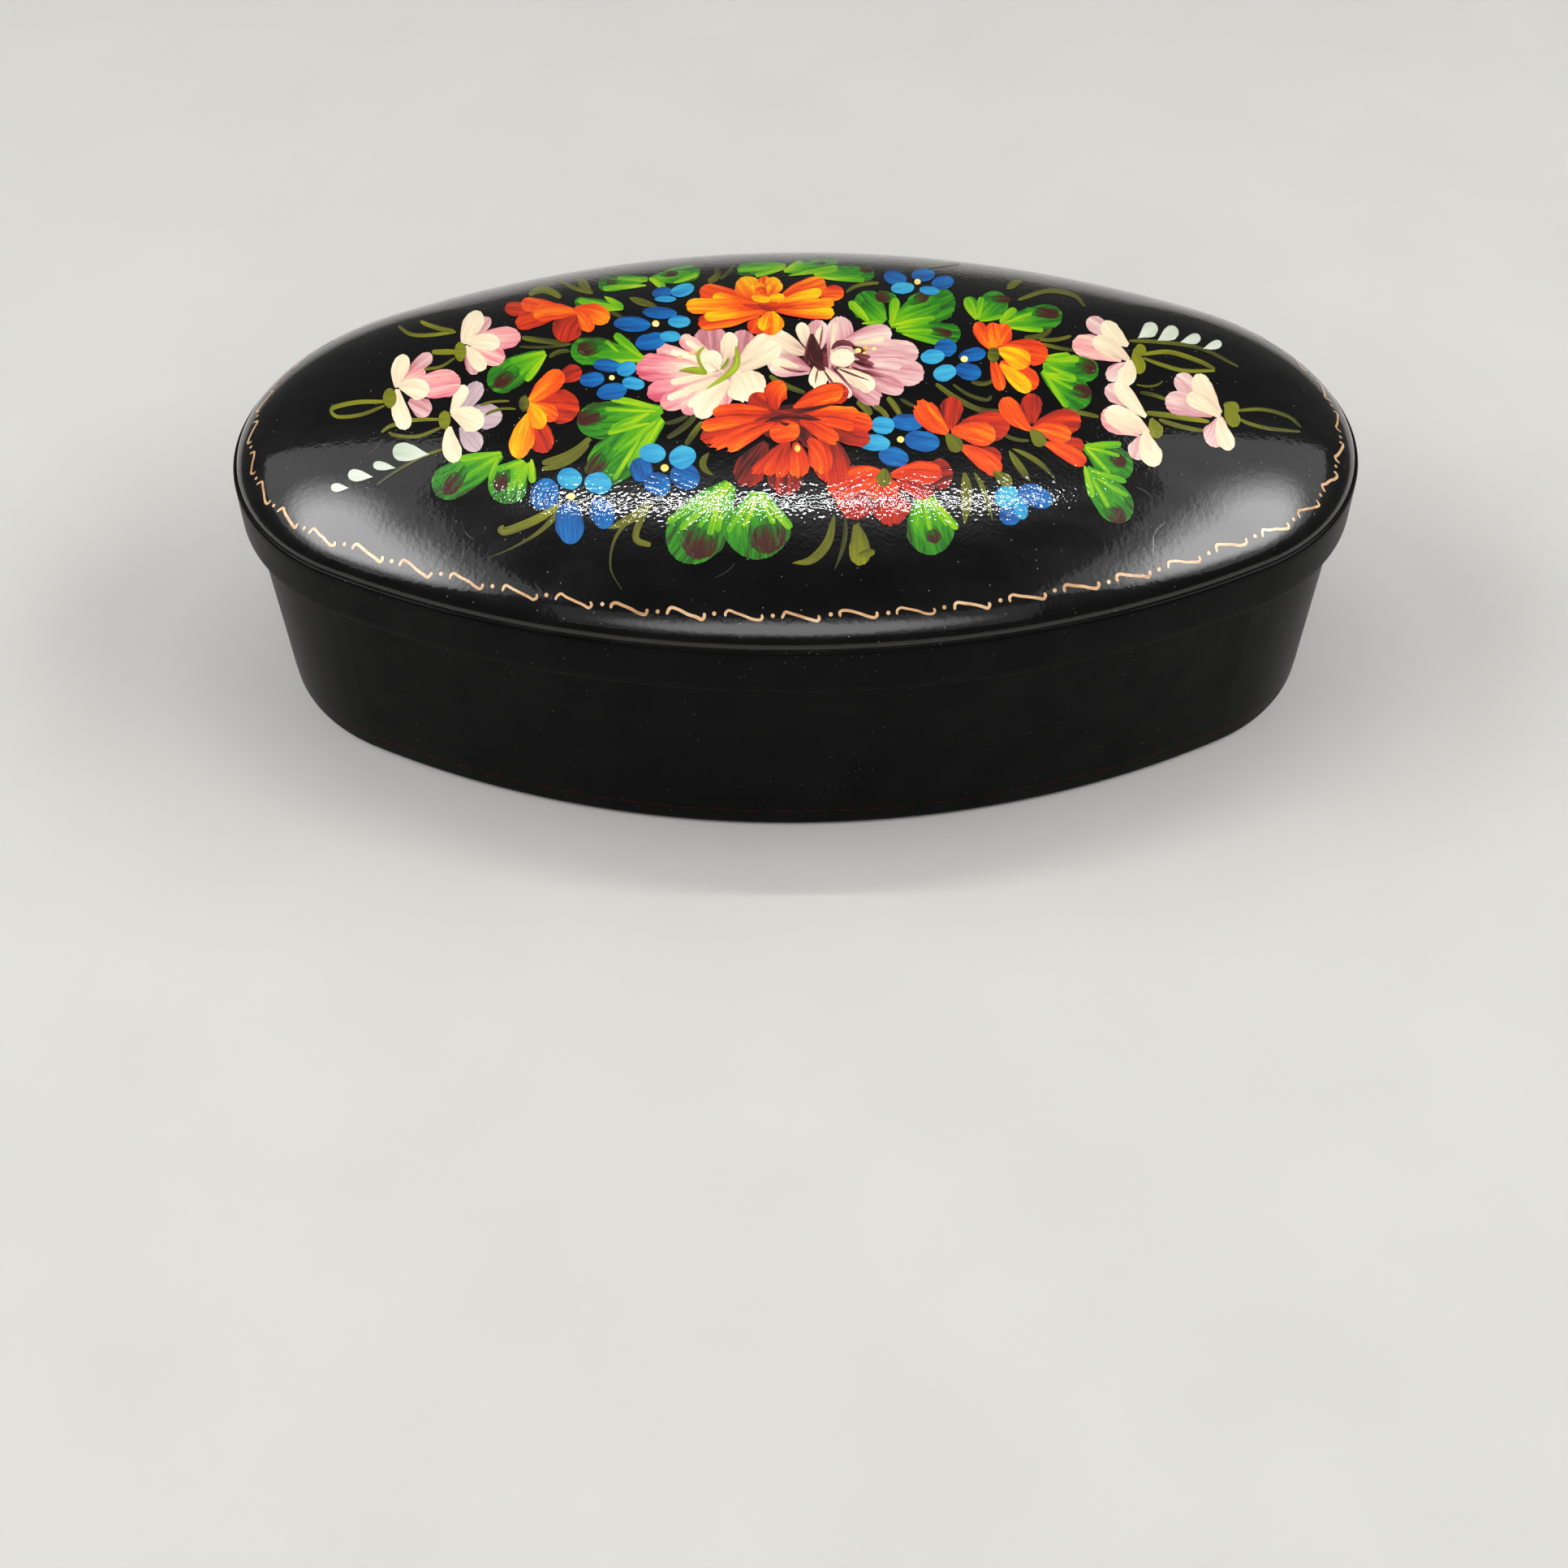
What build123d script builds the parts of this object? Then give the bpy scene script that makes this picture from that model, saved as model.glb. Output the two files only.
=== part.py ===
"""An oval lacquered papier-mache box with a domed, hinged lid, in millimetres.

The box stands on its flat underside with the origin at the middle of that face. Its length lies
along X, its back with the hinge faces +Y, and the lid opens upwards and back.
"""

import os
from math import acos, atan2, cos, degrees

from build123d import *

# Outline of the lid from above: two end arcs and two side arcs
LID_LENGTH = 149.0
LID_WIDTH = 80.0
END_RADIUS = 28.5

# Heights
SEAM_HEIGHT = 28.0
BAND_HEIGHT = 7.0
DOME_RISE = 14.0

# Base: a wound wall that stands on a pressed plate, with an inner liner
LID_OVERHANG = 1.4
BODY_DRAFT = 1.2
WALL_THICKNESS = 3.0
BOTTOM_THICKNESS = 3.0
FOOT_EDGE = 0.8
GLUE_LINE = 0.1
LINER_THICKNESS = 1.4
COLLAR_HEIGHT = 3.5
COLLAR_EDGE = 0.4

# Lid: a wound band with a pressed dome on top
LID_CLEARANCE = 0.35
DOME_THICKNESS = 2.8
BAND_EDGE = 0.5
RIM_EDGE = 0.4

# Brass hinge at the back
HINGE_LENGTH = 22.0
KNUCKLE_COUNT = 5
KNUCKLE_RADIUS = 1.2
KNUCKLE_GAP = 0.1
PIN_RADIUS = 0.5
PIN_CLEARANCE = 0.05
PIN_END_EDGE = 0.2
LEAF_THICKNESS = 0.5
LEAF_COVER = 1.2
BASE_LEAF_DEPTH = 8.0
LID_LEAF_DEPTH = 5.0
LEAF_CLEARANCE = 0.1

# Brads that hold the leaves in their kerfs
BRAD_RADIUS = 0.4
BRAD_LENGTH = 2.2
BRAD_SPACING = 12.0
BRAD_CLEARANCE = 0.05
BASE_BRAD_DROP = 4.5
LID_BRAD_RISE = 3.5

# The dome follows rise * (1 - share ** 2) ** power from its foot to its crown
DOME_POWER = 0.625
DOME_STEPS = 5
CROWN_SHARE = 0.12

# The vault inside the dome starts on a short upright foot
VAULT_FOOT = 1.2

# Overrun of the cutting tools past the faces that they cut
OVERRUN = 1.0

HALF_LENGTH = LID_LENGTH / 2
HALF_WIDTH = LID_WIDTH / 2
END_CENTRE = HALF_LENGTH - END_RADIUS
SIDE_RADIUS = (END_CENTRE**2 + HALF_WIDTH**2 - END_RADIUS**2) / (2 * (HALF_WIDTH - END_RADIUS))
SIDE_CENTRE = SIDE_RADIUS - HALF_WIDTH
END_ANGLE = degrees(atan2(SIDE_CENTRE, END_CENTRE))

WALL_INNER_INSET = LID_OVERHANG + WALL_THICKNESS
LINER_OUTER_INSET = WALL_INNER_INSET + GLUE_LINE
LINER_INNER_INSET = LINER_OUTER_INSET + LINER_THICKNESS
BAND_INNER_INSET = LINER_OUTER_INSET - LID_CLEARANCE
BAND_TOP = SEAM_HEIGHT + BAND_HEIGHT

HINGE_Y = HALF_WIDTH - KNUCKLE_RADIUS
LEAF_OUTER_Y = HALF_WIDTH - LID_OVERHANG - LEAF_COVER
LEAF_INNER_Y = LEAF_OUTER_Y - LEAF_THICKNESS
KNUCKLE_PITCH = HINGE_LENGTH / KNUCKLE_COUNT


def oval(inset, height, share=1.0):
    """The lid's outline drawn in by inset about its own four centres, then scaled in plan by share."""
    end_radius = (END_RADIUS - inset) * share
    side_radius = (SIDE_RADIUS - inset) * share
    end_sweep = 2 * END_ANGLE
    side_sweep = 180 - end_sweep
    arcs = [
        CenterArc((END_CENTRE * share, 0), end_radius, -END_ANGLE, end_sweep),
        CenterArc((0, -SIDE_CENTRE * share), side_radius, END_ANGLE, side_sweep),
        CenterArc((-END_CENTRE * share, 0), end_radius, 180 - END_ANGLE, end_sweep),
        CenterArc((0, SIDE_CENTRE * share), side_radius, 180 + END_ANGLE, side_sweep),
    ]
    return Pos(0, 0, height) * Face(Wire(arcs))


def prism(inset, low, high):
    """An upright oval block between two heights."""
    return extrude(oval(inset, low), amount=high - low)


def drafted(low, high):
    """The base's outside between two heights, with its slight draft towards the foot."""

    def inset(height):
        return LID_OVERHANG + BODY_DRAFT * (1 - height / SEAM_HEIGHT)

    return loft([oval(inset(low), low), oval(inset(high), high)], ruled=True)


def dome_height(share):
    """Height of the dome where its outline has shrunk to share of its foot."""
    return BAND_TOP + DOME_RISE * (1 - share**2) ** DOME_POWER


def outer_dome():
    """The solid dome, lofted through ever smaller ovals, closest at the foot, up to a tiny flat crown."""
    shares = [cos(acos(CROWN_SHARE) * step / DOME_STEPS) for step in range(DOME_STEPS + 1)]
    return loft([oval(BAND_EDGE, dome_height(share), share) for share in shares])


def bend_radius(half_span, sag):
    """Radius of the arc that drops by sag at half_span from its middle."""
    return (half_span**2 + sag**2) / (2 * sag)


def dome_hollow():
    """The vault under the dome: a shallow cap of one fat ring, bent along and across, inside the band's bore."""
    crown = BAND_TOP + DOME_RISE - DOME_THICKNESS
    sag = crown - BAND_TOP - VAULT_FOOT
    long_radius = bend_radius(HALF_LENGTH - BAND_INNER_INSET, sag)
    cross_radius = bend_radius(HALF_WIDTH - BAND_INNER_INSET, sag)
    ring = Rot(90, 0, 0) * Torus(long_radius - cross_radius, cross_radius)
    return prism(BAND_INNER_INSET, BAND_TOP, crown) & Pos(0, 0, crown - long_radius) * ring


def edges_at(solid, height):
    """The edges that lie flat at one height."""
    return solid.edges().filter_by_position(Axis.Z, height, height)


def block(x_size, y_low, y_high, z_low, z_high):
    """A block centred on X between the given faces."""
    size = Box(x_size, y_high - y_low, z_high - z_low, align=(Align.CENTER, Align.MIN, Align.MIN))
    return Pos(0, y_low, z_low) * size


def rod_along_x(radius, length):
    """A rod on the hinge's axis, centred on X."""
    return Pos(0, HINGE_Y, SEAM_HEIGHT) * Rot(0, 90, 0) * Cylinder(radius, length)


def away(side, distance):
    """A height at a distance from the seam: below it for the base, side -1, or above it for the lid."""
    return SEAM_HEIGHT + side * distance


def hinge_room(side, depth):
    """The notch for the barrel and the kerf for one leaf, on one side of the seam."""
    width = HINGE_LENGTH + 2 * LEAF_CLEARANCE
    inner = LEAF_INNER_Y - LEAF_CLEARANCE
    notch = sorted([SEAM_HEIGHT - side * OVERRUN, away(side, KNUCKLE_RADIUS + LEAF_CLEARANCE)])
    kerf = sorted([SEAM_HEIGHT, away(side, depth + LEAF_CLEARANCE)])
    barrel_room = block(width, inner, HALF_WIDTH + OVERRUN, *notch)
    leaf_room = block(width, inner, LEAF_OUTER_Y + LEAF_CLEARANCE, *kerf)
    return barrel_room + leaf_room


def brads(side, height, inner_y):
    """Two headless brads across one leaf, driven outwards from the inner face at inner_y."""
    rod = Rot(-90, 0, 0) * Cylinder(BRAD_RADIUS, BRAD_LENGTH, align=(Align.CENTER, Align.CENTER, Align.MIN))
    places = [(x, inner_y, away(side, height)) for x in (-BRAD_SPACING / 2, BRAD_SPACING / 2)]
    return [Pos(*place) * rod for place in places]


def brad_holes(side, height, inner_y):
    """The holes that the brads need, from the inner face out."""
    length = BRAD_LENGTH + BRAD_CLEARANCE + OVERRUN
    align = (Align.CENTER, Align.CENTER, Align.MIN)
    drill = Rot(-90, 0, 0) * Cylinder(BRAD_RADIUS + BRAD_CLEARANCE, length, align=align)
    places = [(x, inner_y - OVERRUN, away(side, height)) for x in (-BRAD_SPACING / 2, BRAD_SPACING / 2)]
    return Part() + [Pos(*place) * drill for place in places]


def base_bottom():
    """Pressed plate with a softened foot, as wide as the wall that stands on it."""
    plate = drafted(0, BOTTOM_THICKNESS)
    return chamfer(edges_at(plate, 0), FOOT_EDGE)


def base_wall():
    """Wound wall: straight inside, dressed to a slight draft outside."""
    wall = drafted(BOTTOM_THICKNESS, SEAM_HEIGHT)
    wall -= prism(WALL_INNER_INSET, BOTTOM_THICKNESS, SEAM_HEIGHT)
    wall -= hinge_room(-1, BASE_LEAF_DEPTH)
    return wall - brad_holes(-1, BASE_BRAD_DROP, BASE_BRAD_Y)


def base_liner():
    """Thin inner sleeve whose top stands above the seam as the collar that the lid slips over."""
    top = SEAM_HEIGHT + COLLAR_HEIGHT
    liner = prism(LINER_OUTER_INSET, BOTTOM_THICKNESS, top)
    liner -= prism(LINER_INNER_INSET, BOTTOM_THICKNESS, top)
    return chamfer(edges_at(liner, top), COLLAR_EDGE)


def lid_band():
    """Wound band that overhangs the base, with softened outer edges."""
    band = prism(0, SEAM_HEIGHT, BAND_TOP)
    band = chamfer(edges_at(band, BAND_TOP), BAND_EDGE)
    band = chamfer(edges_at(band, SEAM_HEIGHT), RIM_EDGE)
    band -= prism(BAND_INNER_INSET, SEAM_HEIGHT, BAND_TOP)
    band -= hinge_room(1, LID_LEAF_DEPTH)
    return band - brad_holes(1, LID_BRAD_RISE, LID_BRAD_Y)


def lid_dome():
    """Pressed dome, glued to the band's flat top inside its softened edge."""
    return outer_dome() - dome_hollow()


def hinge_leaf(side, depth, first_knuckle, brad_height, brad_y):
    """A leaf in its kerf, with fingers that run under or over the barrel and roll round the pin."""
    far = away(side, depth)
    bend = away(side, KNUCKLE_RADIUS)
    web = away(side, KNUCKLE_RADIUS - LEAF_THICKNESS)
    leaf = block(HINGE_LENGTH, LEAF_INNER_Y, LEAF_OUTER_Y, *sorted([far, web]))
    finger_width = KNUCKLE_PITCH - KNUCKLE_GAP
    for knuckle in range(first_knuckle, KNUCKLE_COUNT, 2):
        x = (knuckle - (KNUCKLE_COUNT - 1) / 2) * KNUCKLE_PITCH
        leaf += Pos(x, 0, 0) * block(finger_width, LEAF_INNER_Y, HINGE_Y, *sorted([bend, web]))
        leaf += Pos(x, 0, 0) * rod_along_x(KNUCKLE_RADIUS, finger_width)
    leaf -= rod_along_x(PIN_RADIUS + PIN_CLEARANCE, HINGE_LENGTH + OVERRUN)
    return leaf - brad_holes(side, brad_height, brad_y)


def hinge_pin():
    """Brass wire through all the knuckles, with bevelled ends."""
    pin = rod_along_x(PIN_RADIUS, HINGE_LENGTH)
    return chamfer(pin.edges().filter_by(GeomType.CIRCLE), PIN_END_EDGE)


# The brads start just inside the face that they were driven from
BASE_BRAD_Y = HALF_WIDTH - WALL_INNER_INSET + BRAD_CLEARANCE
LID_BRAD_Y = HALF_WIDTH - BAND_INNER_INSET + BRAD_CLEARANCE

parts = {
    "base_bottom": base_bottom(),
    "base_wall": base_wall(),
    "base_liner": base_liner(),
    "lid_band": lid_band(),
    "lid_dome": lid_dome(),
    "hinge_leaf_base": hinge_leaf(-1, BASE_LEAF_DEPTH, 0, BASE_BRAD_DROP, BASE_BRAD_Y),
    "hinge_leaf_lid": hinge_leaf(1, LID_LEAF_DEPTH, 1, LID_BRAD_RISE, LID_BRAD_Y),
    "hinge_pin": hinge_pin(),
    "base_brads": Compound(children=brads(-1, BASE_BRAD_DROP, BASE_BRAD_Y)),
    "lid_brads": Compound(children=brads(1, LID_BRAD_RISE, LID_BRAD_Y)),
}

os.makedirs("parts", exist_ok=True)
for name, shape in parts.items():
    export_step(shape, f"parts/{name}.step")
    print(name, len(shape.solids()), "solids", round(shape.volume, 1), "mm3")
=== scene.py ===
# %% [markdown]
# # An oval lacquer box with painted flowers
#
# The real thing is a small box of papier-mache, wound and pressed from paper, soaked in oil,
# baked hard and covered with many coats of black lacquer. A bouquet is painted on the domed
# lid in oil colours, then clear lacquer is laid over it and polished.
# The CAD model gives the solid pieces. This script dresses them: it makes smoother skins for
# the lacquered pieces, paints the lid stroke by stroke and lights the result.

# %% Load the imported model
from math import atan2, cos, pi, radians, sin

import bmesh
import bpy
import numpy as np
from mathutils import Matrix, Vector


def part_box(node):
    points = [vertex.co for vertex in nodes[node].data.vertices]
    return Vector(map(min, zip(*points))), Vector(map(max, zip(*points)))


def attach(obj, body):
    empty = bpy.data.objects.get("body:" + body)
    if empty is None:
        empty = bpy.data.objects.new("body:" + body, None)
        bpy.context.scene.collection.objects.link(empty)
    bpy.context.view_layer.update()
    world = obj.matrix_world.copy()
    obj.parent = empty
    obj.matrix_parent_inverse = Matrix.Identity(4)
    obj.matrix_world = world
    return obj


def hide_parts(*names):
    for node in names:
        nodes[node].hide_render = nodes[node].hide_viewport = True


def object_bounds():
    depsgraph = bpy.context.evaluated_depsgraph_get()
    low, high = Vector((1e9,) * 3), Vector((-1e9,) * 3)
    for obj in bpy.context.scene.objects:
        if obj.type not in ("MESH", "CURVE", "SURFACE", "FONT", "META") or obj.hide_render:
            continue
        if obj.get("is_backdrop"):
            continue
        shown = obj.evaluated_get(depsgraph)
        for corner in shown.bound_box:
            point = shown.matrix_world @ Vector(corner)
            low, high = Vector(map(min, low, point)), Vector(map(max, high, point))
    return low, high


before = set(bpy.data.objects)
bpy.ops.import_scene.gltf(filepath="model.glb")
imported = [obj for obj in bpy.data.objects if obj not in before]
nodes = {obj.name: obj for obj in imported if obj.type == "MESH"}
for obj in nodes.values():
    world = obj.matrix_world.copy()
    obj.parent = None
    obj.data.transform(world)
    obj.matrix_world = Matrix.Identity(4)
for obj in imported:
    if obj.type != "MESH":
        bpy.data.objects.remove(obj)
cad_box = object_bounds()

MM = 0.001   # one millimetre in Blender's metres
TINY = 1e-9  # keeps a division from dividing by zero
print("CAD nodes:", sorted(nodes))

# %% [markdown]
# ## The camera
#
# The photograph was taken from the front, looking down at about 48 degrees. Its lens and place
# were worked out from the outlines of the box, so the camera here stands where the real one
# stood. The same numbers later turn a pixel of the photograph into a point on the lid.

# %% Set up the camera
# Lengths are in millimetres. The focal length is in pixels of the photograph.
PHOTO_SIDE = 1932
FOCAL_LENGTH_PX = 2799.4
CAMERA_DISTANCE = 308.26
CAMERA_ELEVATION = radians(48.221)
CAMERA_AZIMUTH = radians(-0.105)
CAMERA_ROLL = radians(-0.354)
LOOKED_AT = np.array([-1.862, -29.954, 0.0])
SENSOR_WIDTH = 36.0
NEAREST_SEEN = 10.0

back = np.array([
    sin(CAMERA_AZIMUTH) * cos(CAMERA_ELEVATION),
    -cos(CAMERA_AZIMUTH) * cos(CAMERA_ELEVATION),
    sin(CAMERA_ELEVATION),
])
level = np.cross(-back, [0.0, 0.0, 1.0])
level /= np.linalg.norm(level)
upward = np.cross(level, -back)
right = level * cos(CAMERA_ROLL) + upward * sin(CAMERA_ROLL)
up = upward * cos(CAMERA_ROLL) - level * sin(CAMERA_ROLL)
eye = LOOKED_AT + back * CAMERA_DISTANCE

camera_data = bpy.data.cameras.new("camera")
camera_data.lens = FOCAL_LENGTH_PX * SENSOR_WIDTH / PHOTO_SIDE
camera_data.sensor_width = SENSOR_WIDTH
camera_data.clip_start = NEAREST_SEEN * MM
camera = bpy.data.objects.new("camera", camera_data)
bpy.context.scene.collection.objects.link(camera)
turn = Matrix([[right[i], up[i], back[i]] for i in range(3)]).to_4x4()
camera.matrix_world = Matrix.Translation(Vector(eye) * MM) @ turn
bpy.context.scene.camera = camera
print("lens", round(camera_data.lens, 2), "mm, camera at", [round(v, 1) for v in eye], "mm")

# %% [markdown]
# ## The oval
#
# Seen from above, the lid is an oval of four arcs: a small one at each end and a large one
# along each side. They meet where their centres line up, so the outline runs without a kink.
# Every skin below follows this outline, drawn in by an inset.

# %% Measure the oval and the dome
low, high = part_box("lid_band")
HALF_LENGTH = high.x / MM
HALF_WIDTH = high.y / MM
SEAM_HEIGHT = low.z / MM
BAND_TOP = high.z / MM
CROWN_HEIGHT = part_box("lid_dome")[1].z / MM
END_RADIUS = 28.5
END_CENTRE = HALF_LENGTH - END_RADIUS
SIDE_RADIUS = (END_CENTRE**2 + HALF_WIDTH**2 - END_RADIUS**2) / (2 * (HALF_WIDTH - END_RADIUS))
SIDE_CENTRE = SIDE_RADIUS - HALF_WIDTH
END_ANGLE = atan2(SIDE_CENTRE, END_CENTRE)
BAND_EDGE = 0.5
DOME_POWER = 0.625  # flat in the middle and quick to turn down at the rim
PAINT_ROOM = 0.17   # the skin stays this far under the CAD crown, so that the paint has room
DOME_RISE = CROWN_HEIGHT - BAND_TOP - PAINT_ROOM
print("oval", 2 * HALF_LENGTH, "x", 2 * HALF_WIDTH, "mm, side radius", round(SIDE_RADIUS, 2), "mm")


# %% Walk round the rim
def rim(count):
    """Centres, directions and radii of even steps round the rim, from the right end."""
    side_sweep = pi - 2 * END_ANGLE
    arcs = [
        ((END_CENTRE, 0.0), END_RADIUS, -END_ANGLE, 2 * END_ANGLE),
        ((0.0, -SIDE_CENTRE), SIDE_RADIUS, END_ANGLE, side_sweep),
        ((-END_CENTRE, 0.0), END_RADIUS, pi - END_ANGLE, 2 * END_ANGLE),
        ((0.0, SIDE_CENTRE), SIDE_RADIUS, pi + END_ANGLE, side_sweep),
    ]
    lengths = np.array([radius * sweep for _, radius, _, sweep in arcs])
    starts = np.concatenate([[0.0], np.cumsum(lengths)])
    travelled = np.arange(count) / count * starts[-1]
    which = np.clip(np.searchsorted(starts, travelled, side="right") - 1, 0, 3)
    centres = np.array([arcs[i][0] for i in which])
    radii = np.array([arcs[i][1] for i in which])
    angles = np.array([arcs[i][2] for i in which]) + (travelled - starts[which]) / radii
    return centres, np.stack([np.cos(angles), np.sin(angles)], axis=1), radii


RIM_STEPS = 372
rim_centres, rim_directions, rim_radii = rim(RIM_STEPS)
print("rim in", RIM_STEPS, "steps")


def ring(inset, height, share=1.0):
    """One ring of points: the rim drawn in by inset, scaled by share, at a height."""
    flat = (rim_centres + rim_directions * (rim_radii - inset)[:, None]) * share
    return np.column_stack([flat, np.full(len(flat), float(height))])


# %% Describe the dome
def dome_share(x, y):
    """How far a point lies from the middle, 0, to the dome's foot, 1, on the scaled ovals."""
    x, y = np.abs(x), np.abs(y)
    reach = np.maximum(x * x + y * y, TINY)
    end_radius, side_radius = END_RADIUS - BAND_EDGE, SIDE_RADIUS - BAND_EDGE
    inside = (END_CENTRE * x) ** 2 - reach * (END_CENTRE**2 - end_radius**2)
    to_end = (END_CENTRE * x + np.sqrt(np.maximum(inside, 0.0))) / reach
    on_end = (inside >= 0) & (np.arctan2(y * to_end, x * to_end - END_CENTRE) < END_ANGLE)
    pull = SIDE_CENTRE * y
    to_side = (-pull + np.sqrt(pull**2 + reach * (side_radius**2 - SIDE_CENTRE**2))) / reach
    return 1 / np.where(on_end, to_end, to_side)


def dome_height(x, y):
    """Height of the dome's skin, in millimetres, at a place seen from above."""
    share = np.minimum(dome_share(x, y), 1.0)
    return BAND_TOP + DOME_RISE * (1 - share**2) ** DOME_POWER


def dome_normal(x, y, step=0.05):
    """Directions that point straight out of the dome."""
    slope_x = (dome_height(x + step, y) - dome_height(x - step, y)) / (2 * step)
    slope_y = (dome_height(x, y + step) - dome_height(x, y - step)) / (2 * step)
    normal = np.stack([-slope_x, -slope_y, np.ones_like(slope_x)], axis=1)
    return normal / np.linalg.norm(normal, axis=1)[:, None]


print("crown of the skin at", round(float(dome_height(0.0, 0.0)), 2), "mm")

# %% [markdown]
# ## From rings to meshes
#
# A lacquered piece is turned from rings: points round the oval at one height after another,
# joined by four-sided faces. Real edges are never sharp after many coats of lacquer, so each
# profile has small round corners, and only truly sharp edges are marked sharp for shading.


# %% Helpers that turn rings into a mesh
def make_object(name, vertices, faces, body):
    """A mesh object in metres from points in millimetres, riding on a CAD body."""
    mesh = bpy.data.meshes.new(name)
    mesh.from_pydata((np.asarray(vertices) * MM).tolist(), [], faces)
    mesh.update()
    made = bpy.data.objects.new(name, mesh)
    bpy.context.scene.collection.objects.link(made)
    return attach(made, body)


def skin(name, rings, body, middle_first=None, middle_last=None, closed=False):
    """Joins rings, in order, and closes the first and last with a fan round a middle point."""
    count = len(rings[0])
    vertices = np.concatenate(rings)
    faces = []
    pairs = list(range(len(rings) - 1))
    for k in pairs + ([len(rings) - 1] if closed else []):
        a, b = k * count, ((k + 1) % len(rings)) * count
        for i in range(count):
            j = (i + 1) % count
            faces.append((a + i, a + j, b + j, b + i))
    last_ring = (len(rings) - 1) * count
    for middle, start, flip in ((middle_first, 0, True), (middle_last, last_ring, False)):
        if middle is not None:
            vertices = np.vstack([vertices, middle])
            tip = len(vertices) - 1
            for i in range(count):
                j = (i + 1) % count
                faces.append((start + j, start + i, tip) if flip else (start + i, start + j, tip))
    return make_object(name, vertices, faces, body)


def soften(made, sharp_from=35):
    """Shades smooth, except over edges that turn by more than sharp_from degrees."""
    form = bmesh.new()
    form.from_mesh(made.data)
    bmesh.ops.recalc_face_normals(form, faces=form.faces)
    for face in form.faces:
        face.smooth = True
    for edge in form.edges:
        edge.smooth = len(edge.link_faces) < 2 or edge.calc_face_angle(0) < radians(sharp_from)
    form.to_mesh(made.data)
    form.free()


def corner(inset, height, radius, start, steps=6):
    """Profile points of a quarter turn about a centre, from a start angle in degrees."""
    angles = [radians(start + 90 * k / steps) for k in range(steps + 1)]
    return [(inset - radius * cos(a), height + radius * sin(a)) for a in angles]


print("a corner has", len(corner(0.0, 0.0, 1.0, 0)), "points")

# %% [markdown]
# ## Materials: one helper, many finishes
#
# A material here is a tree of nodes that describes the surface with patterns worked out from
# real sizes. Colours are written as the hex values of a paint chart and turned to linear light.


# %% Helpers for colours and nodes
def linear(hex_colour):
    """An sRGB hex colour as linear red, green, blue and alpha."""
    channels = [int(hex_colour[k:k + 2], 16) / 255 for k in (1, 3, 5)]
    return [c / 12.92 if c <= 0.04045 else ((c + 0.055) / 1.055) ** 2.4 for c in channels] + [1.0]


def node(tree, kind, sockets=None, **settings):
    """Adds a node with its settings. Each socket gets a value or another node's output."""
    made = tree.nodes.new(kind)
    for name, value in settings.items():
        setattr(made, name, value)
    for name, value in (sockets or {}).items():
        if isinstance(value, bpy.types.NodeSocket):
            tree.links.new(value, made.inputs[name])
        else:
            made.inputs[name].default_value = value
    return made


def new_material(name):
    """An empty material and its tree."""
    made = bpy.data.materials.new(name)
    made.use_nodes = True
    made.node_tree.nodes.clear()
    return made, made.node_tree


def set_ramp(ramp_node, stops):
    """Gives a colour ramp its stops, pairs of a place from 0 to 1 and a hex colour."""
    ramp = ramp_node.color_ramp
    while len(ramp.elements) < len(stops):
        ramp.elements.new(1.0)
    for element, (place, colour) in zip(ramp.elements, stops):
        element.position = place
        element.color = linear(colour)


def per_metre(millimetres):
    """Noise scale whose features are about this wide, for coordinates in metres."""
    return 1 / (millimetres * MM)


print("middle grey #808080 is", round(linear("#808080")[0], 3), "in linear light")

# %% [markdown]
# ## Black lacquer
#
# Real name: oil lacquer, several coats, rubbed down and polished on a felt wheel. The dome has
# the deepest gloss. The eye gets a mirror with very faint waves from the hand polishing and a
# little dust caught in the last coat. Round the bouquet the lacquer was rubbed down over the
# ridges of the paint, so its skin is finely grained there and breaks up the glints.


# %% Catch dust in the last coat
# Dust is drawn a tenth of a millimetre wide, coarser than it is, to show.
DUST_SPACING_MM = 1.1
DUST_SIZE_SHARE = 0.09
DUST_EDGE_SHARE = 0.054
DUST_CHOICE = (0.55, 0.6)
DUST_GREY = "#9A9890"


def dusted(tree, place, colour, dust):
    """The lacquer's colour with a few grey specks in it."""
    cells = node(tree, "ShaderNodeTexVoronoi", {"Vector": place, "Scale": per_metre(DUST_SPACING_MM)})
    near_middle = node(tree, "ShaderNodeMapRange", {
        "Value": cells.outputs["Distance"], "From Min": DUST_EDGE_SHARE, "From Max": DUST_SIZE_SHARE,
        "To Min": dust, "To Max": 0.0})
    chosen = node(tree, "ShaderNodeMapRange", {
        "Value": cells.outputs["Color"], "From Min": DUST_CHOICE[0], "From Max": DUST_CHOICE[1]})
    specks = node(tree, "ShaderNodeMath", {
        0: near_middle.outputs[0], 1: chosen.outputs[0]}, operation="MULTIPLY")
    colours = node(tree, "ShaderNodeMix", {
        "Factor": specks.outputs[0], 6: linear(colour), 7: linear(DUST_GREY)}, data_type="RGBA")
    return colours.outputs[2]


print("dust is", round(2 * DUST_SIZE_SHARE * DUST_SPACING_MM, 2), "mm wide at most")

# %% Wave the skin and grain it round the bouquet
SWELL_MM = 7.0
RIPPLE_MM = 0.8
RIPPLE_SHARE = 0.5
GRAIN_MM = 0.45
WAVE_DEPTH_MM = 0.03
BOUQUET_REACH_MM = (52.0, 38.0)
GRAIN_FADE = (0.8, 1.05)


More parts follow.
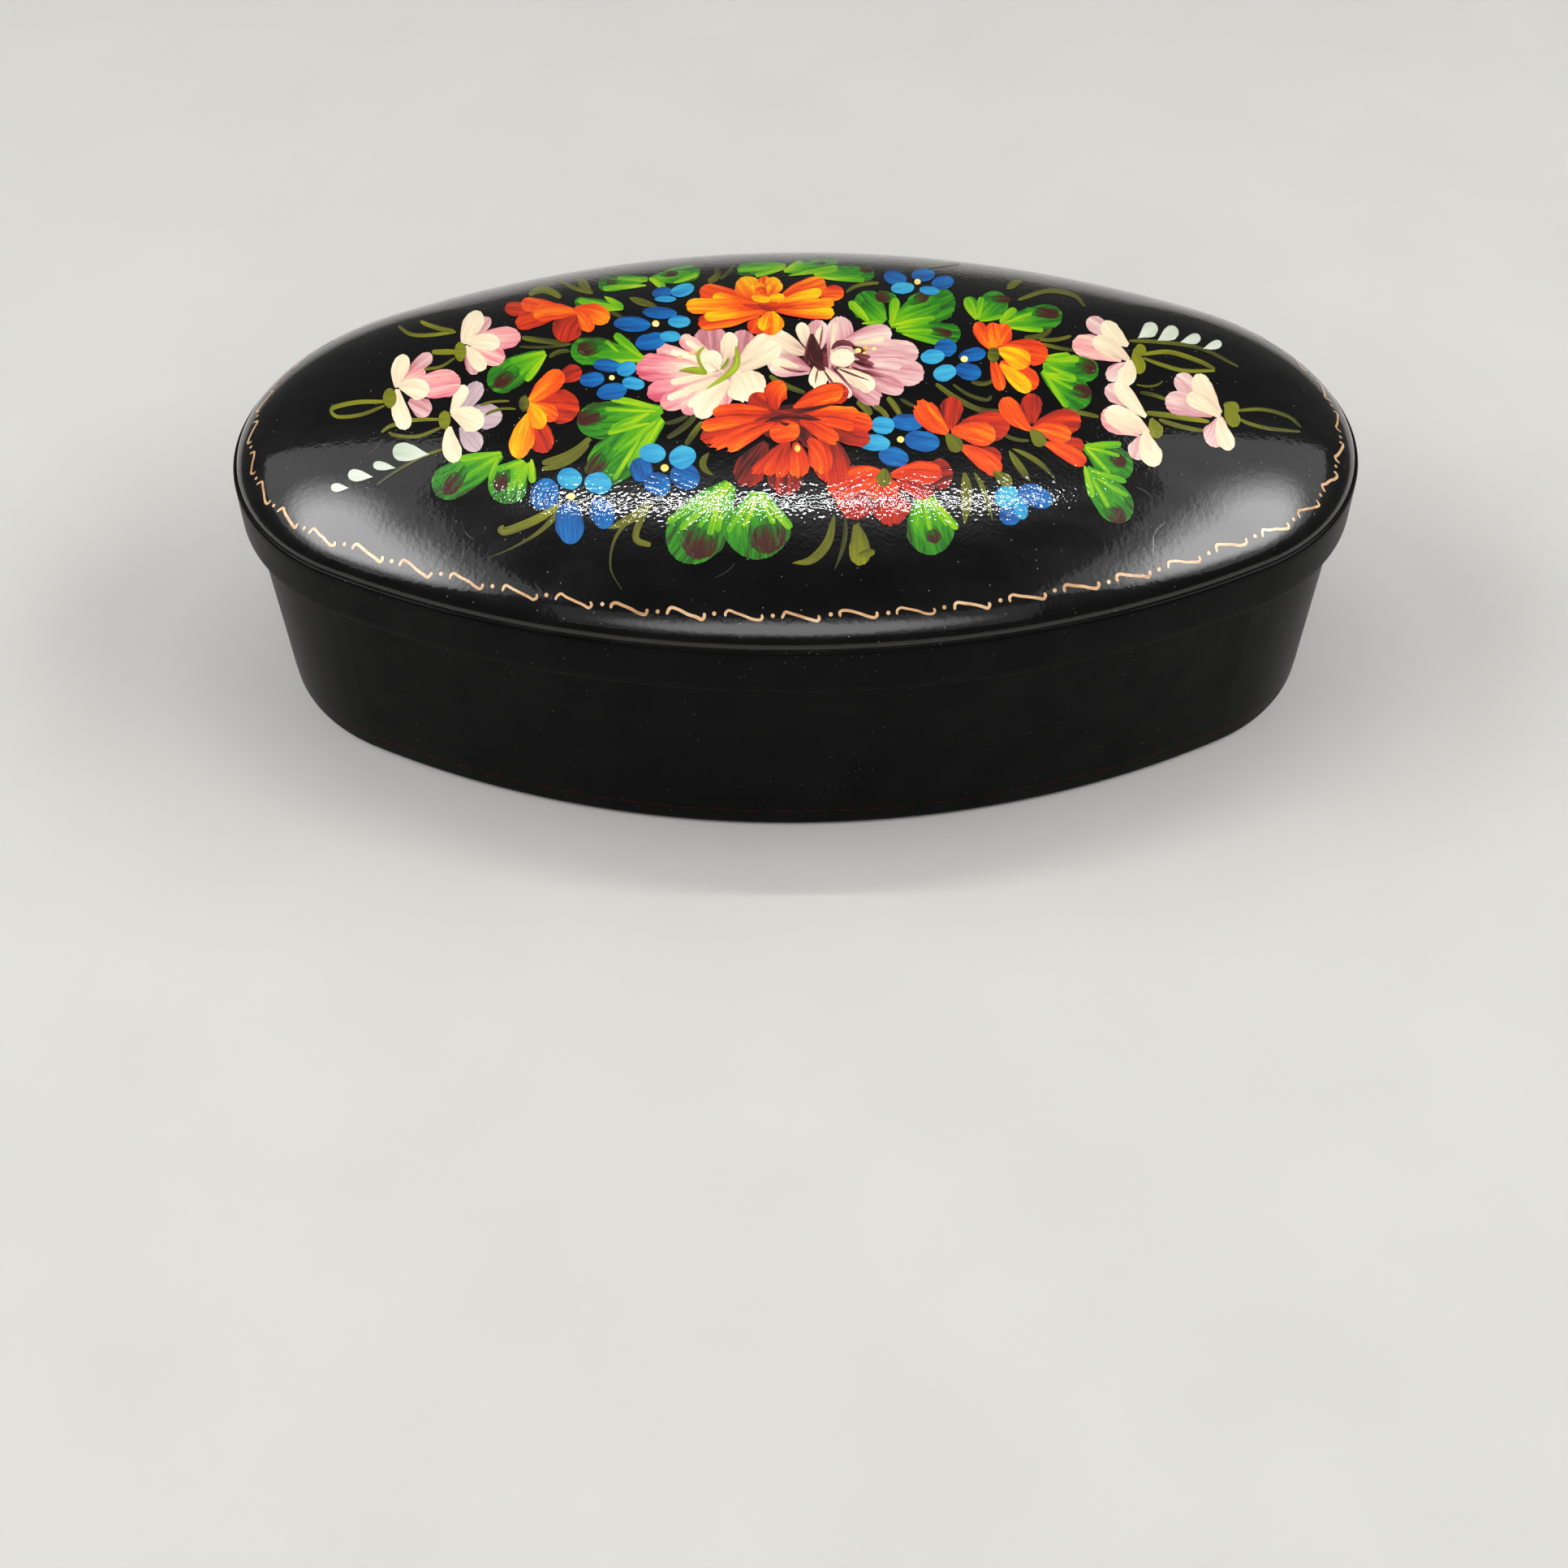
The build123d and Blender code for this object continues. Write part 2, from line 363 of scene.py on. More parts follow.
def waved(tree, place, grain):
    """Normals of a hand-polished skin, with grain where the bouquet lies under it."""
    swell, ripple, fine = [
        node(tree, "ShaderNodeTexNoise", {
            "Vector": place, "Scale": per_metre(width_mm), "Detail": detail}).outputs["Fac"]
        for width_mm, detail in ((SWELL_MM, 0.0), (RIPPLE_MM, 3.0), (GRAIN_MM, 0.0))]
    scaled = node(tree, "ShaderNodeVectorMath", {
        0: place, 1: [1 / (reach * MM) for reach in BOUQUET_REACH_MM] + [0.0]}, operation="MULTIPLY")
    from_bouquet = node(tree, "ShaderNodeVectorMath", {0: scaled.outputs[0]}, operation="LENGTH")
    near_bouquet = node(tree, "ShaderNodeMapRange", {
        "Value": from_bouquet.outputs["Value"], "From Min": GRAIN_FADE[0], "From Max": GRAIN_FADE[1],
        "To Min": grain, "To Max": 0.0})
    waves = node(tree, "ShaderNodeMath", {
        0: ripple, 1: RIPPLE_SHARE, 2: swell}, operation="MULTIPLY_ADD")
    waves = node(tree, "ShaderNodeMath", {
        0: fine, 1: near_bouquet.outputs[0], 2: waves.outputs[0]}, operation="MULTIPLY_ADD")
    return node(tree, "ShaderNodeBump", {
        "Height": waves.outputs[0], "Strength": 1.0, "Distance": WAVE_DEPTH_MM * MM}).outputs[0]


print("grain of", GRAIN_MM, "mm within", BOUQUET_REACH_MM, "mm of the middle")

# %% Mix the lacquers
CLOUD_MM = 7.0
CLOUD_SQUEEZE = (1.0, 2.2, 1.0)
COAT_ROUGHNESS = (0.03, 0.07)


def lacquer(name, colour, gloss, haze, dust, level, grain=0.0):
    """A clear top coat over hazy, rubbed colour, both a little uneven, as rubbing leaves them."""
    made, tree = new_material(name)
    place = node(tree, "ShaderNodeTexCoord").outputs["Object"]
    squeezed = node(tree, "ShaderNodeMapping", {"Vector": place, "Scale": CLOUD_SQUEEZE})
    cloud = node(tree, "ShaderNodeTexNoise", {
        "Vector": squeezed.outputs[0], "Scale": per_metre(CLOUD_MM), "Detail": 5.0})
    roughness, mirror, coat_roughness = [
        node(tree, "ShaderNodeMapRange", {
            "Value": cloud.outputs["Fac"], "From Min": 0.3, "From Max": 0.7,
            "To Min": least, "To Max": most}).outputs[0]
        for least, most in ((haze * 0.88, haze * 1.14), (level * 0.75, level * 1.25), COAT_ROUGHNESS)]
    skin_bump = waved(tree, place, grain)
    shader = node(tree, "ShaderNodeBsdfPrincipled", {
        "Base Color": dusted(tree, place, colour, dust), "IOR": 1.5, "Roughness": roughness,
        "Specular IOR Level": mirror, "Normal": skin_bump, "Coat Normal": skin_bump,
        "Coat Weight": gloss, "Coat Roughness": coat_roughness})
    node(tree, "ShaderNodeOutputMaterial", {"Surface": shader.outputs[0]})
    return made


black_gloss = lacquer("black_lacquer_polished", "#030303", 1.0, 0.28, 0.6, 0.12, 0.8)
black_satin = lacquer("black_lacquer_rubbed", "#040405", 0.04, 0.36, 0.3, 0.05)
red_inside = lacquer("red_lacquer_inside", "#A81A0E", 0.8, 0.4, 0.3, 0.4)
print("lacquers:", black_gloss.name, black_satin.name, red_inside.name)


# %% Dress a piece in black and red
def dress(made, black, is_red):
    """Gives a piece black lacquer, and red where is_red holds for a face's middle and normal."""
    made.data.materials.clear()
    made.data.materials.append(black)
    made.data.materials.append(red_inside)
    for face in made.data.polygons:
        face.material_index = 1 if is_red(face.center / MM, face.normal) else 0
    print(made.name + ":", len(made.data.polygons), "faces,",
          sum(face.material_index for face in made.data.polygons), "of them red")


# %% [markdown]
# ## Brass
#
# Real name: rolled and drawn brass, for the hinge's leaves, its pin and the brads. The metal is
# rolled to a sheet and drawn to a wire, so its brightness runs in fine lines, and handling
# leaves brown patches where it is never wiped.

# %% Make the brass
ROLLING_LINE_MM = 0.12
ROLLING_STRETCH = 0.15
ROLLING_DEPTH_MM = 0.004
TARNISH_PATCH_MM = 2.0
BRASS_NODES = ("hinge_leaf_base", "hinge_leaf_lid", "hinge_pin", "base_brads", "lid_brads")

brass, tree = new_material("rolled_brass")
place = node(tree, "ShaderNodeTexCoord").outputs["Object"]
along = node(tree, "ShaderNodeMapping", {"Vector": place, "Scale": (ROLLING_STRETCH, 1.0, 1.0)})
lines = node(tree, "ShaderNodeTexNoise", {
    "Vector": along.outputs[0], "Scale": per_metre(ROLLING_LINE_MM), "Detail": 3.0})
patches = node(tree, "ShaderNodeTexNoise", {
    "Vector": place, "Scale": per_metre(TARNISH_PATCH_MM), "Detail": 4.0})
tarnish = node(tree, "ShaderNodeValToRGB", {"Fac": patches.outputs["Fac"]})
set_ramp(tarnish, [(0.35, "#D9B25A"), (0.75, "#8C6A2E")])
shine = node(tree, "ShaderNodeMapRange", {
    "Value": lines.outputs["Fac"], "To Min": 0.18, "To Max": 0.42})
grooves = node(tree, "ShaderNodeBump", {
    "Height": lines.outputs["Fac"], "Strength": 0.3, "Distance": ROLLING_DEPTH_MM * MM})
metal = node(tree, "ShaderNodeBsdfPrincipled", {
    "Base Color": tarnish.outputs["Color"], "Metallic": 1.0, "Roughness": shine.outputs[0],
    "Normal": grooves.outputs[0],
})
node(tree, "ShaderNodeOutputMaterial", {"Surface": metal.outputs[0]})
for name in BRASS_NODES:
    nodes[name].data.materials[0] = brass
print("brass on", len(BRASS_NODES), "nodes")

# %% [markdown]
# ## The dome
#
# The real dome is papier-mache pressed over a former, then filed, lacquered and polished until
# no facet is left. The skin is made of scaled ovals, close together at the foot where it turns
# fastest, so that its reflections run smoothly. The vault under it is red.

# %% Make the dome's skin
DOME_RINGS = 70
VAULT_RINGS = 24
DOME_THICKNESS = 2.8
BORE_INSET = 4.15
BORE_SHARE = 0.955   # the bore's wall lies inside this share of the way to the rim
VAULT_FOOT = 1.2
VAULT_FOOT_REACH = 1.5
INNERMOST_SHARE = 0.04
FIRST_TURN = 0.012
NEARLY_UPRIGHT = 0.2

shares = np.sin(np.linspace(FIRST_TURN, pi / 2, DOME_RINGS))
outer = [ring(BAND_EDGE, BAND_TOP + DOME_RISE * (1 - s * s) ** DOME_POWER, s) for s in shares]


def vault_height(x, y):
    """Height of the shallow vault under the dome."""
    crown = BAND_TOP + DOME_RISE - DOME_THICKNESS
    sag = crown - BAND_TOP - VAULT_FOOT
    drop = 0.0
    for along, half in ((x, HALF_LENGTH - BORE_INSET), (y, HALF_WIDTH - BORE_INSET)):
        radius = (half**2 + sag**2) / (2 * sag)
        drop = drop + radius - np.sqrt(radius**2 - along**2)
    return crown - drop


foot = [ring(BORE_INSET, BAND_TOP)]
under = []
for share in np.linspace(1.0, INNERMOST_SHARE, VAULT_RINGS):
    points = ring(BORE_INSET, 0.0, share)
    points[:, 2] = vault_height(points[:, 0], points[:, 1])
    under.append(points)
crown_point = (0.0, 0.0, float(dome_height(0.0, 0.0)))
vault_point = (0.0, 0.0, float(vault_height(0.0, 0.0)))
dome = skin("dome_skin", outer + foot + under, "lid", crown_point, vault_point)
soften(dome)


def in_the_vault(middle, normal):
    """Whether a face of the dome is part of the vault or of the low wall round it."""
    looks_down = normal.z < 0 and middle.z > BAND_TOP + 0.05
    upright = abs(normal.z) < NEARLY_UPRIGHT
    low_down = abs(middle.z - BAND_TOP - VAULT_FOOT / 2) < VAULT_FOOT_REACH
    return looks_down or (upright and low_down and dome_share(middle.x, middle.y) < BORE_SHARE)


dress(dome, black_gloss, in_the_vault)
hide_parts("lid_dome")

# %% [markdown]
# ## The band of the lid
#
# The band is a strip of papier-mache wound round a form. On the real box it stands out over the
# base like the brim of a cap, has a softer shine than the dome, and its corners are rounded by
# the lacquer. At the back it is notched for the hinge's barrel. The notch is cut with a boolean.


# %% Cut with a box
def cut_box(made, low_corner, high_corner):
    """Cuts a box, given by two corners in millimetres, out of a piece."""
    form = bmesh.new()
    bmesh.ops.create_cube(form, size=1.0)
    low_v, high_v = Vector(low_corner) * MM, Vector(high_corner) * MM
    for vertex in form.verts:
        vertex.co = Vector([
            (low_v[i] + high_v[i]) / 2 + vertex.co[i] * (high_v[i] - low_v[i]) for i in range(3)])
    mesh = bpy.data.meshes.new("cutter")
    form.to_mesh(mesh)
    form.free()
    cutter = bpy.data.objects.new("cutter", mesh)
    bpy.context.scene.collection.objects.link(cutter)
    modifier = made.modifiers.new("notch", "BOOLEAN")
    modifier.operation = "DIFFERENCE"
    modifier.solver = "EXACT"
    modifier.object = cutter
    evaluated = made.evaluated_get(bpy.context.evaluated_depsgraph_get())
    result = bpy.data.meshes.new_from_object(evaluated)
    made.modifiers.clear()
    made.data = result
    bpy.data.objects.remove(cutter)
    print(made.name, "is cut at x", low_corner[0], "to", high_corner[0], "mm")


# %% Wind the band
RIM_EDGE = 0.4
PLAIN_RINGS = 5
PLAIN_MARGIN = 1.5
profile = corner(RIM_EDGE, SEAM_HEIGHT + RIM_EDGE, RIM_EDGE, -90)
profile += [(0.0, height) for height in np.linspace(
    SEAM_HEIGHT + PLAIN_MARGIN, BAND_TOP - PLAIN_MARGIN, PLAIN_RINGS)]
profile += corner(BAND_EDGE, BAND_TOP - BAND_EDGE, BAND_EDGE, 0)
profile += [(BORE_INSET, BAND_TOP), (BORE_INSET, SEAM_HEIGHT)]
band = skin("lid_band_skin", [ring(i, h) for i, h in profile], "lid", closed=True)
soften(band)
print("band wound of", len(profile), "rings")

# %% Cut the notch and dress the band
NOTCH_CLEARANCE = 0.1
NOTCH_HEIGHT = 1.3
CUT_PAST = 1.0
low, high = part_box("hinge_leaf_base")
notch_low = (low.x / MM - NOTCH_CLEARANCE, low.y / MM - NOTCH_CLEARANCE, SEAM_HEIGHT - CUT_PAST)
notch_high = (high.x / MM + NOTCH_CLEARANCE, HALF_WIDTH + CUT_PAST, SEAM_HEIGHT + NOTCH_HEIGHT)
cut_box(band, notch_low, notch_high)
soften(band)


def in_the_bore(middle, normal):
    """Whether a face of the band looks inward."""
    inward = normal.x * middle.x + normal.y * middle.y < 0 and abs(normal.z) < 0.5
    return inward and dome_share(middle.x, middle.y) < BORE_SHARE


dress(band, black_satin, in_the_bore)
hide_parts("lid_band")

# %% [markdown]
# ## The base
#
# The base's wall is wound like the band and then filed to a slight draft, narrower at the foot.
# The pressed bottom plate closes it. Its foot is rounded, and inside it is red like the liner.
# The wall and the liner keep their CAD meshes, whose shape is right.

# %% Make the bottom plate and dress the wall and the liner
LID_OVERHANG = 1.4
BODY_DRAFT = 1.2
PLATE_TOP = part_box("base_bottom")[1].z / MM
FOOT_RADIUS = 0.95
FOOT_STEPS = 8


def draft_inset(height):
    """How far the wall stands in from the lid's rim at a height."""
    return LID_OVERHANG + BODY_DRAFT * (1 - height / SEAM_HEIGHT)


foot_inset = draft_inset(0) + FOOT_RADIUS
profile = corner(foot_inset, FOOT_RADIUS, FOOT_RADIUS, -90, FOOT_STEPS)
profile += [(draft_inset(PLATE_TOP), PLATE_TOP)]
rings = [ring(i, h) for i, h in profile]
bottom = skin("bottom_plate_skin", rings, "base", (0.0, 0.0, 0.0), (0.0, 0.0, PLATE_TOP))
soften(bottom)
dress(bottom, black_satin, lambda middle, normal: normal.z > 0.9)
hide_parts("base_bottom")
nodes["base_wall"].data.materials[0] = black_satin
nodes["base_liner"].data.materials[0] = red_inside
print("base dressed, foot radius", FOOT_RADIUS, "mm")

# %% [markdown]
# ## Brush strokes
#
# The painter loads a soft brush with two colours and sets down one petal per stroke, so a petal
# is broad and round at its far end, narrow at the heart, and streaked along its length. Each
# stroke here is a thin sheet of faces just above the dome. Its outline is worked out on the
# photograph's plane, from the heart to the tip of the petal, and every point of it is then
# followed from the camera down to the dome, so the paint really lies on the lid.
# Each point also keeps a tone, from the dark end to the bright end of its pigment, and its
# place along and across the stroke, from which the material draws the hairs of the brush.


# %% Follow pixels down to the dome
HALVINGS = 36


def on_dome(pixels, lifts):
    """Points, in millimetres, where pixels of the photograph meet the dome, raised by lifts."""
    pixels = np.asarray(pixels, float)
    middle = PHOTO_SIDE / 2
    rays = -back + np.outer((pixels[:, 0] - middle) / FOCAL_LENGTH_PX, right)
    rays = rays - np.outer((pixels[:, 1] - middle) / FOCAL_LENGTH_PX, up)
    near = (CROWN_HEIGHT + 1 - eye[2]) / rays[:, 2]
    far = (BAND_TOP - eye[2]) / rays[:, 2]
    for _ in range(HALVINGS):
        half = (near + far) / 2
        points = eye + rays * half[:, None]
        above = points[:, 2] > dome_height(points[:, 0], points[:, 1])
        near, far = np.where(above, half, near), np.where(above, far, half)
    points = eye + rays * near[:, None]
    return points + dome_normal(points[:, 0], points[:, 1]) * np.asarray(lifts)[:, None]


heart = on_dome([(966, 430)], [0.0])[0]
print("pixel 966, 430 lies at", [round(float(v), 1) for v in heart], "mm")


# %% Say how wide each kind of stroke is
PETAL_HEART, PETAL_BROADEST, PETAL_TIP_LOSS = 0.22, 0.66, 0.1
DROP_POINT, DROP_BROADEST = 0.02, 0.7
COMMA_HEAD, COMMA_LOSS = 0.16, 0.92


def width_shares(kind, u):
    """How wide a stroke is along its length, as a share of its full width."""
    if kind == "petal":
        swell = np.sin(pi / 2 * np.minimum(u / PETAL_BROADEST, 1.0))
        past = np.maximum(u - PETAL_BROADEST, 0) / (1 - PETAL_BROADEST)
        return (PETAL_HEART + (1 - PETAL_HEART) * swell) * (1 - PETAL_TIP_LOSS * past)
    if kind == "drop":
        swell = np.sin(pi / 2 * np.minimum(u / DROP_BROADEST, 1.0)) ** 1.3
        return DROP_POINT + (1 - DROP_POINT) * swell
    if kind == "blade":
        return np.sin(pi * u**0.85) ** 0.75
    if kind == "stem":
        return (4 * u * (1 - u)) ** 0.22
    if kind == "patch":
        return np.maximum(4 * u * (1 - u), 0.0) ** 0.3  # a hair may end just past the tip
    if kind == "comma":
        head = np.sqrt(np.maximum(0.0, 1 - (np.maximum(COMMA_HEAD - u, 0) / COMMA_HEAD) ** 2))
        return head * (1 - u * COMMA_LOSS)
    return np.sqrt(np.maximum(0.0, 1 - (2 * u - 1) ** 2))


print("a petal is", round(float(width_shares("petal", 0.5)), 2), "of its width half way along")


# %% Draw a smooth line through points
HALF_STEP = 0.005


def through(points, u):
    """Points at shares u of a smooth line through given points, and its sideways directions."""
    points = np.asarray(points, float)

    def along(u):
        if len(points) == 2:
            return points[0] + np.outer(u, points[1] - points[0])
        if len(points) == 3:
            control = 2 * points[1] - (points[0] + points[2]) / 2
            w = u[:, None]
            return (1 - w) ** 2 * points[0] + 2 * w * (1 - w) * control + w * w * points[2]
        padded = np.vstack([2 * points[0] - points[1], points, 2 * points[-1] - points[-2]])
        spans = u * (len(points) - 1)
        k = np.clip(spans.astype(int), 0, len(points) - 2)
        t = (spans - k)[:, None]
        a, b, c, d = padded[k], padded[k + 1], padded[k + 2], padded[k + 3]
        return 0.5 * (
            2 * b + (c - a) * t + (2 * a - 5 * b + 4 * c - d) * t**2 + (3 * b - a - 3 * c + d) * t**3)

    heading = along(u + HALF_STEP) - along(u - HALF_STEP)
    heading /= np.maximum(np.linalg.norm(heading, axis=1), TINY)[:, None]
    return along(u), np.stack([-heading[:, 1], heading[:, 0]], axis=1)


print("a line from 0 to 10 passes", through([(0, 0), (10, 0)], np.array([0.5]))[0][0].tolist())


# %% Name the kinds of strokes
def stroke(kind, points, width, tone_root, tone_tip=None, ragged=0.0, tilt=0.0):
    """One stroke: its points in pixels, full width in pixels, and its tones from root to tip."""
    return {
        "kind": kind, "points": points, "width": width, "ragged": ragged, "tilt": tilt,
        "tones": (tone_root, tone_root if tone_tip is None else tone_tip),
    }


def petal(x0, y0, x1, y1, width, tone_root, tone_tip=None, bend=0.0, ragged=0.018, tilt=0.0):
    """A petal from its heart to its tip, bowed to its left by bend pixels.

    ragged is how unevenly its hairs end, tilt how much lighter one side of it is.
    """
    run = np.array([x1 - x0, y1 - y0], float)
    side = np.array([-run[1], run[0]]) / max(np.linalg.norm(run), TINY)
    middle = tuple(np.array([(x0 + x1) / 2, (y0 + y1) / 2]) + side * bend)
    return stroke("petal", [(x0, y0), middle, (x1, y1)], width, tone_root, tone_tip, ragged, tilt)


def drop(x0, y0, x1, y1, width, tone_root, tone_tip):
    """A drop from its point to its round end."""
    middle = ((x0 + x1) / 2, (y0 + y1) / 2)
    return stroke("drop", [(x0, y0), middle, (x1, y1)], width, tone_root, tone_tip)


def oval(x, y, width, height, tone, tone_far=None, turned=0.0):
    """A round dab, width by height, turned by degrees."""
    reach = np.array([cos(radians(turned)), sin(radians(turned))]) * width / 2
    ends = [(x - reach[0], y - reach[1]), (x + reach[0], y + reach[1])]
    return stroke("oval", ends, height, tone, tone_far)


def line(points, width, tone, tone_tip=None, kind="stem"):
    """A thin stroke through several points."""
    return stroke(kind, points, width, tone, tone_tip)


def blade(points, width, tone, tone_tip=None):
    """A stroke through several points that runs out to a point at both ends."""
    return stroke("blade", points, width, tone, tone_tip)


print("a petal's points:", petal(0, 0, 9, 0, 4, 0.5, bend=1)["points"])

# %% Set an unsteady hand
SIDE_WAVER = 0.06
OVAL_WAVER = 1.6
HAND_TURNS = (0.8, 1.7, 3.1)
TURN_SIZES = (0.3, 1.0)
chance = np.random.default_rng(7)


def wavering(count, size):
    """Slow, smooth, seeded changes of up to about size, as of a hand that is not quite steady."""
    places = np.linspace(0, 1, count)
    waves = [
        chance.uniform(*TURN_SIZES) * np.sin(2 * pi * (turns * places + chance.uniform()))
        for turns in HAND_TURNS]
    return size * np.sum(waves, axis=0) / 2


print("sides waver by up to", SIDE_WAVER, "of their half width")

# %% Lay out one stroke
STROKE_STEP_PX = 3.5
HAIR_STEP_PX = 2.0
LEAST_STEPS = 8
LEAST_HAIRS = 3
PX_PER_MM = 9.08
MOST_CAP = 0.6       # the round end takes up to this share of a petal
CAP_ROUNDNESS = 0.995
HAIR_ENDS = (-1, 0.35)
HAIR_LOAD = 0.05     # how much the tone of one hair's track differs
LEAN = 0.05          # how much one side of a stroke is lighter by chance
EDGE_THINNING = 0.18
EDGE_SHARPNESS = 6
FARTHEST_START = 100.0


def stroke_grid(one, start):
    """Pixels, tones, brush coordinates and faces, numbered from start, of a stroke."""
    points = np.asarray(one["points"], float)
    length = np.linalg.norm(np.diff(points, axis=0), axis=1).sum()
    half = one["width"] / 2
    rows = max(LEAST_STEPS, int(length / STROKE_STEP_PX)) + 1
    columns = max(LEAST_HAIRS, int(one["width"] / HAIR_STEP_PX) + 1) + 1
    v = np.linspace(-1, 1, columns)  # a column of the grid is the track of a few hairs
    ends = np.ones(columns)
    if one["kind"] in ("petal", "drop", "patch"):
        cap = min(MOST_CAP, half / length)
        ends = 1 - cap * (1 - np.sqrt(1 - (v * CAP_ROUNDNESS) ** 2))
        ends = ends + chance.uniform(*HAIR_ENDS, columns) * one["ragged"]
    even = (1 - np.cos(np.linspace(0, pi, rows))) / 2
    u = even[:, None] * ends[None, :]
    spine, side = (part.reshape(rows, columns, 2) for part in through(points, u.ravel()))
    widths = width_shares(one["kind"], u) * half
    waver = SIDE_WAVER * (OVAL_WAVER if one["kind"] == "oval" else 1.0)
    one_side, other_side = (1 + wavering(rows, waver)[:, None] for _ in range(2))
    sides = np.where(v[None, :] < 0, one_side, other_side)
    grid = spine + side * (widths * v[None, :] * sides)[:, :, None]
    root, tip = one["tones"]
    blend = np.clip(u, 0, 1) ** 2 * (3 - 2 * np.clip(u, 0, 1))
    lean = one["tilt"] + chance.uniform(-LEAN, LEAN)
    load = chance.uniform(-HAIR_LOAD, HAIR_LOAD, columns)
    thin = EDGE_THINNING * v[None, :] ** EDGE_SHARPNESS * np.sin(pi * even)[:, None]
    tones = root + (tip - root) * blend + lean * v[None, :] + load[None, :] - thin
    offset = chance.uniform(0, FARTHEST_START, 2)
    brush = np.stack([u * length, widths * v[None, :]], axis=2) / PX_PER_MM + offset
    faces = quads(rows, columns, start)
    return grid.reshape(-1, 2), np.clip(tones, 0, 1).ravel(), brush.reshape(-1, 2), faces


def quads(rows, columns, start):
    """Four-sided faces of a grid of points, numbered from start."""
    firsts = [start + r * columns + c for r in range(rows - 1) for c in range(columns - 1)]
    return [(k, k + 1, k + columns + 1, k + columns) for k in firsts]


print("a grid of 3 by 3 points has", len(quads(3, 3, 0)), "faces")

# %% Lay paint on the lid
STROKE_LAYER = 0.002
LEAF_LAYER = 0.0007


def paint(name, strokes, pigment, lift):
    """One piece of paint from strokes in the order of painting. A leaf is a list of its own.

    lift is how far the first stroke lies above the dome, in millimetres.
    """
    pixels, lifts, tones, brushes, faces = [], [], [], [], []
    start = 0
    for leaf_count, group in enumerate(strokes if isinstance(strokes[0], list) else [strokes]):
        for layer, one in enumerate(group):
            grid, tone, brush, cells = stroke_grid(one, start)
            pixels.append(grid)
            tones.append(tone)
            brushes.append(brush)
            lifts.append(np.full(len(grid), lift + layer * STROKE_LAYER + leaf_count * LEAF_LAYER))
            faces += cells
            start += len(grid)
    points = on_dome(np.concatenate(pixels), np.concatenate(lifts))
    finish_paint(name, points, faces, tones, brushes, pigment)


def finish_paint(name, points, faces, tones, brushes, pigment):
    """Makes the mesh of some paint, with its tones and brush coordinates, and lays it on the lid."""
    tones, brushes = np.concatenate(tones), np.concatenate(brushes)
    made = make_object(name, points, faces, "lid")
    mesh = made.data
    up_count = sum(1 for face in mesh.polygons if face.normal.z > 0)
    if up_count < len(mesh.polygons) / 2:
        mesh.flip_normals()
    mesh.polygons.foreach_set("use_smooth", [True] * len(mesh.polygons))
    mesh.attributes.new("tone", "FLOAT", "POINT").data.foreach_set("value", tones.astype(np.float32))
    layer = mesh.uv_layers.new(name="brush")
    corners = np.zeros(len(mesh.loops), np.int32)
    mesh.loops.foreach_get("vertex_index", corners)
    layer.data.foreach_set("uv", brushes[corners].astype(np.float32).ravel())
    mesh.materials.append(pigment)
    print(name + ":", len(mesh.polygons), "faces of", pigment.name)


print("strokes of one piece lie", STROKE_LAYER, "mm over each other")

# %% [markdown]
# ## Oil colours under lacquer
#
# Each family of colour is one material: a ramp from its darkest to its brightest pigment. The
# stroke's tone picks the place on the ramp, and noise drawn out along the stroke shifts it by a
# little, as the hairs of the brush do. A clear coat stands for the lacquer over the paint.


# %% Grind a pigment
# Real sizes in millimetres. The tracks of the hairs are drawn coarser than real ones, to show.
LOAD_MM = 0.8
TRACK_MM = 0.42
SKIN_GRAIN_MM = 0.5
RELIEF_MM = 0.03
STREAK_STRETCH = (0.09, 1.0, 1.0)
TRACK_STRETCH = (0.22, 1.0, 1.0)


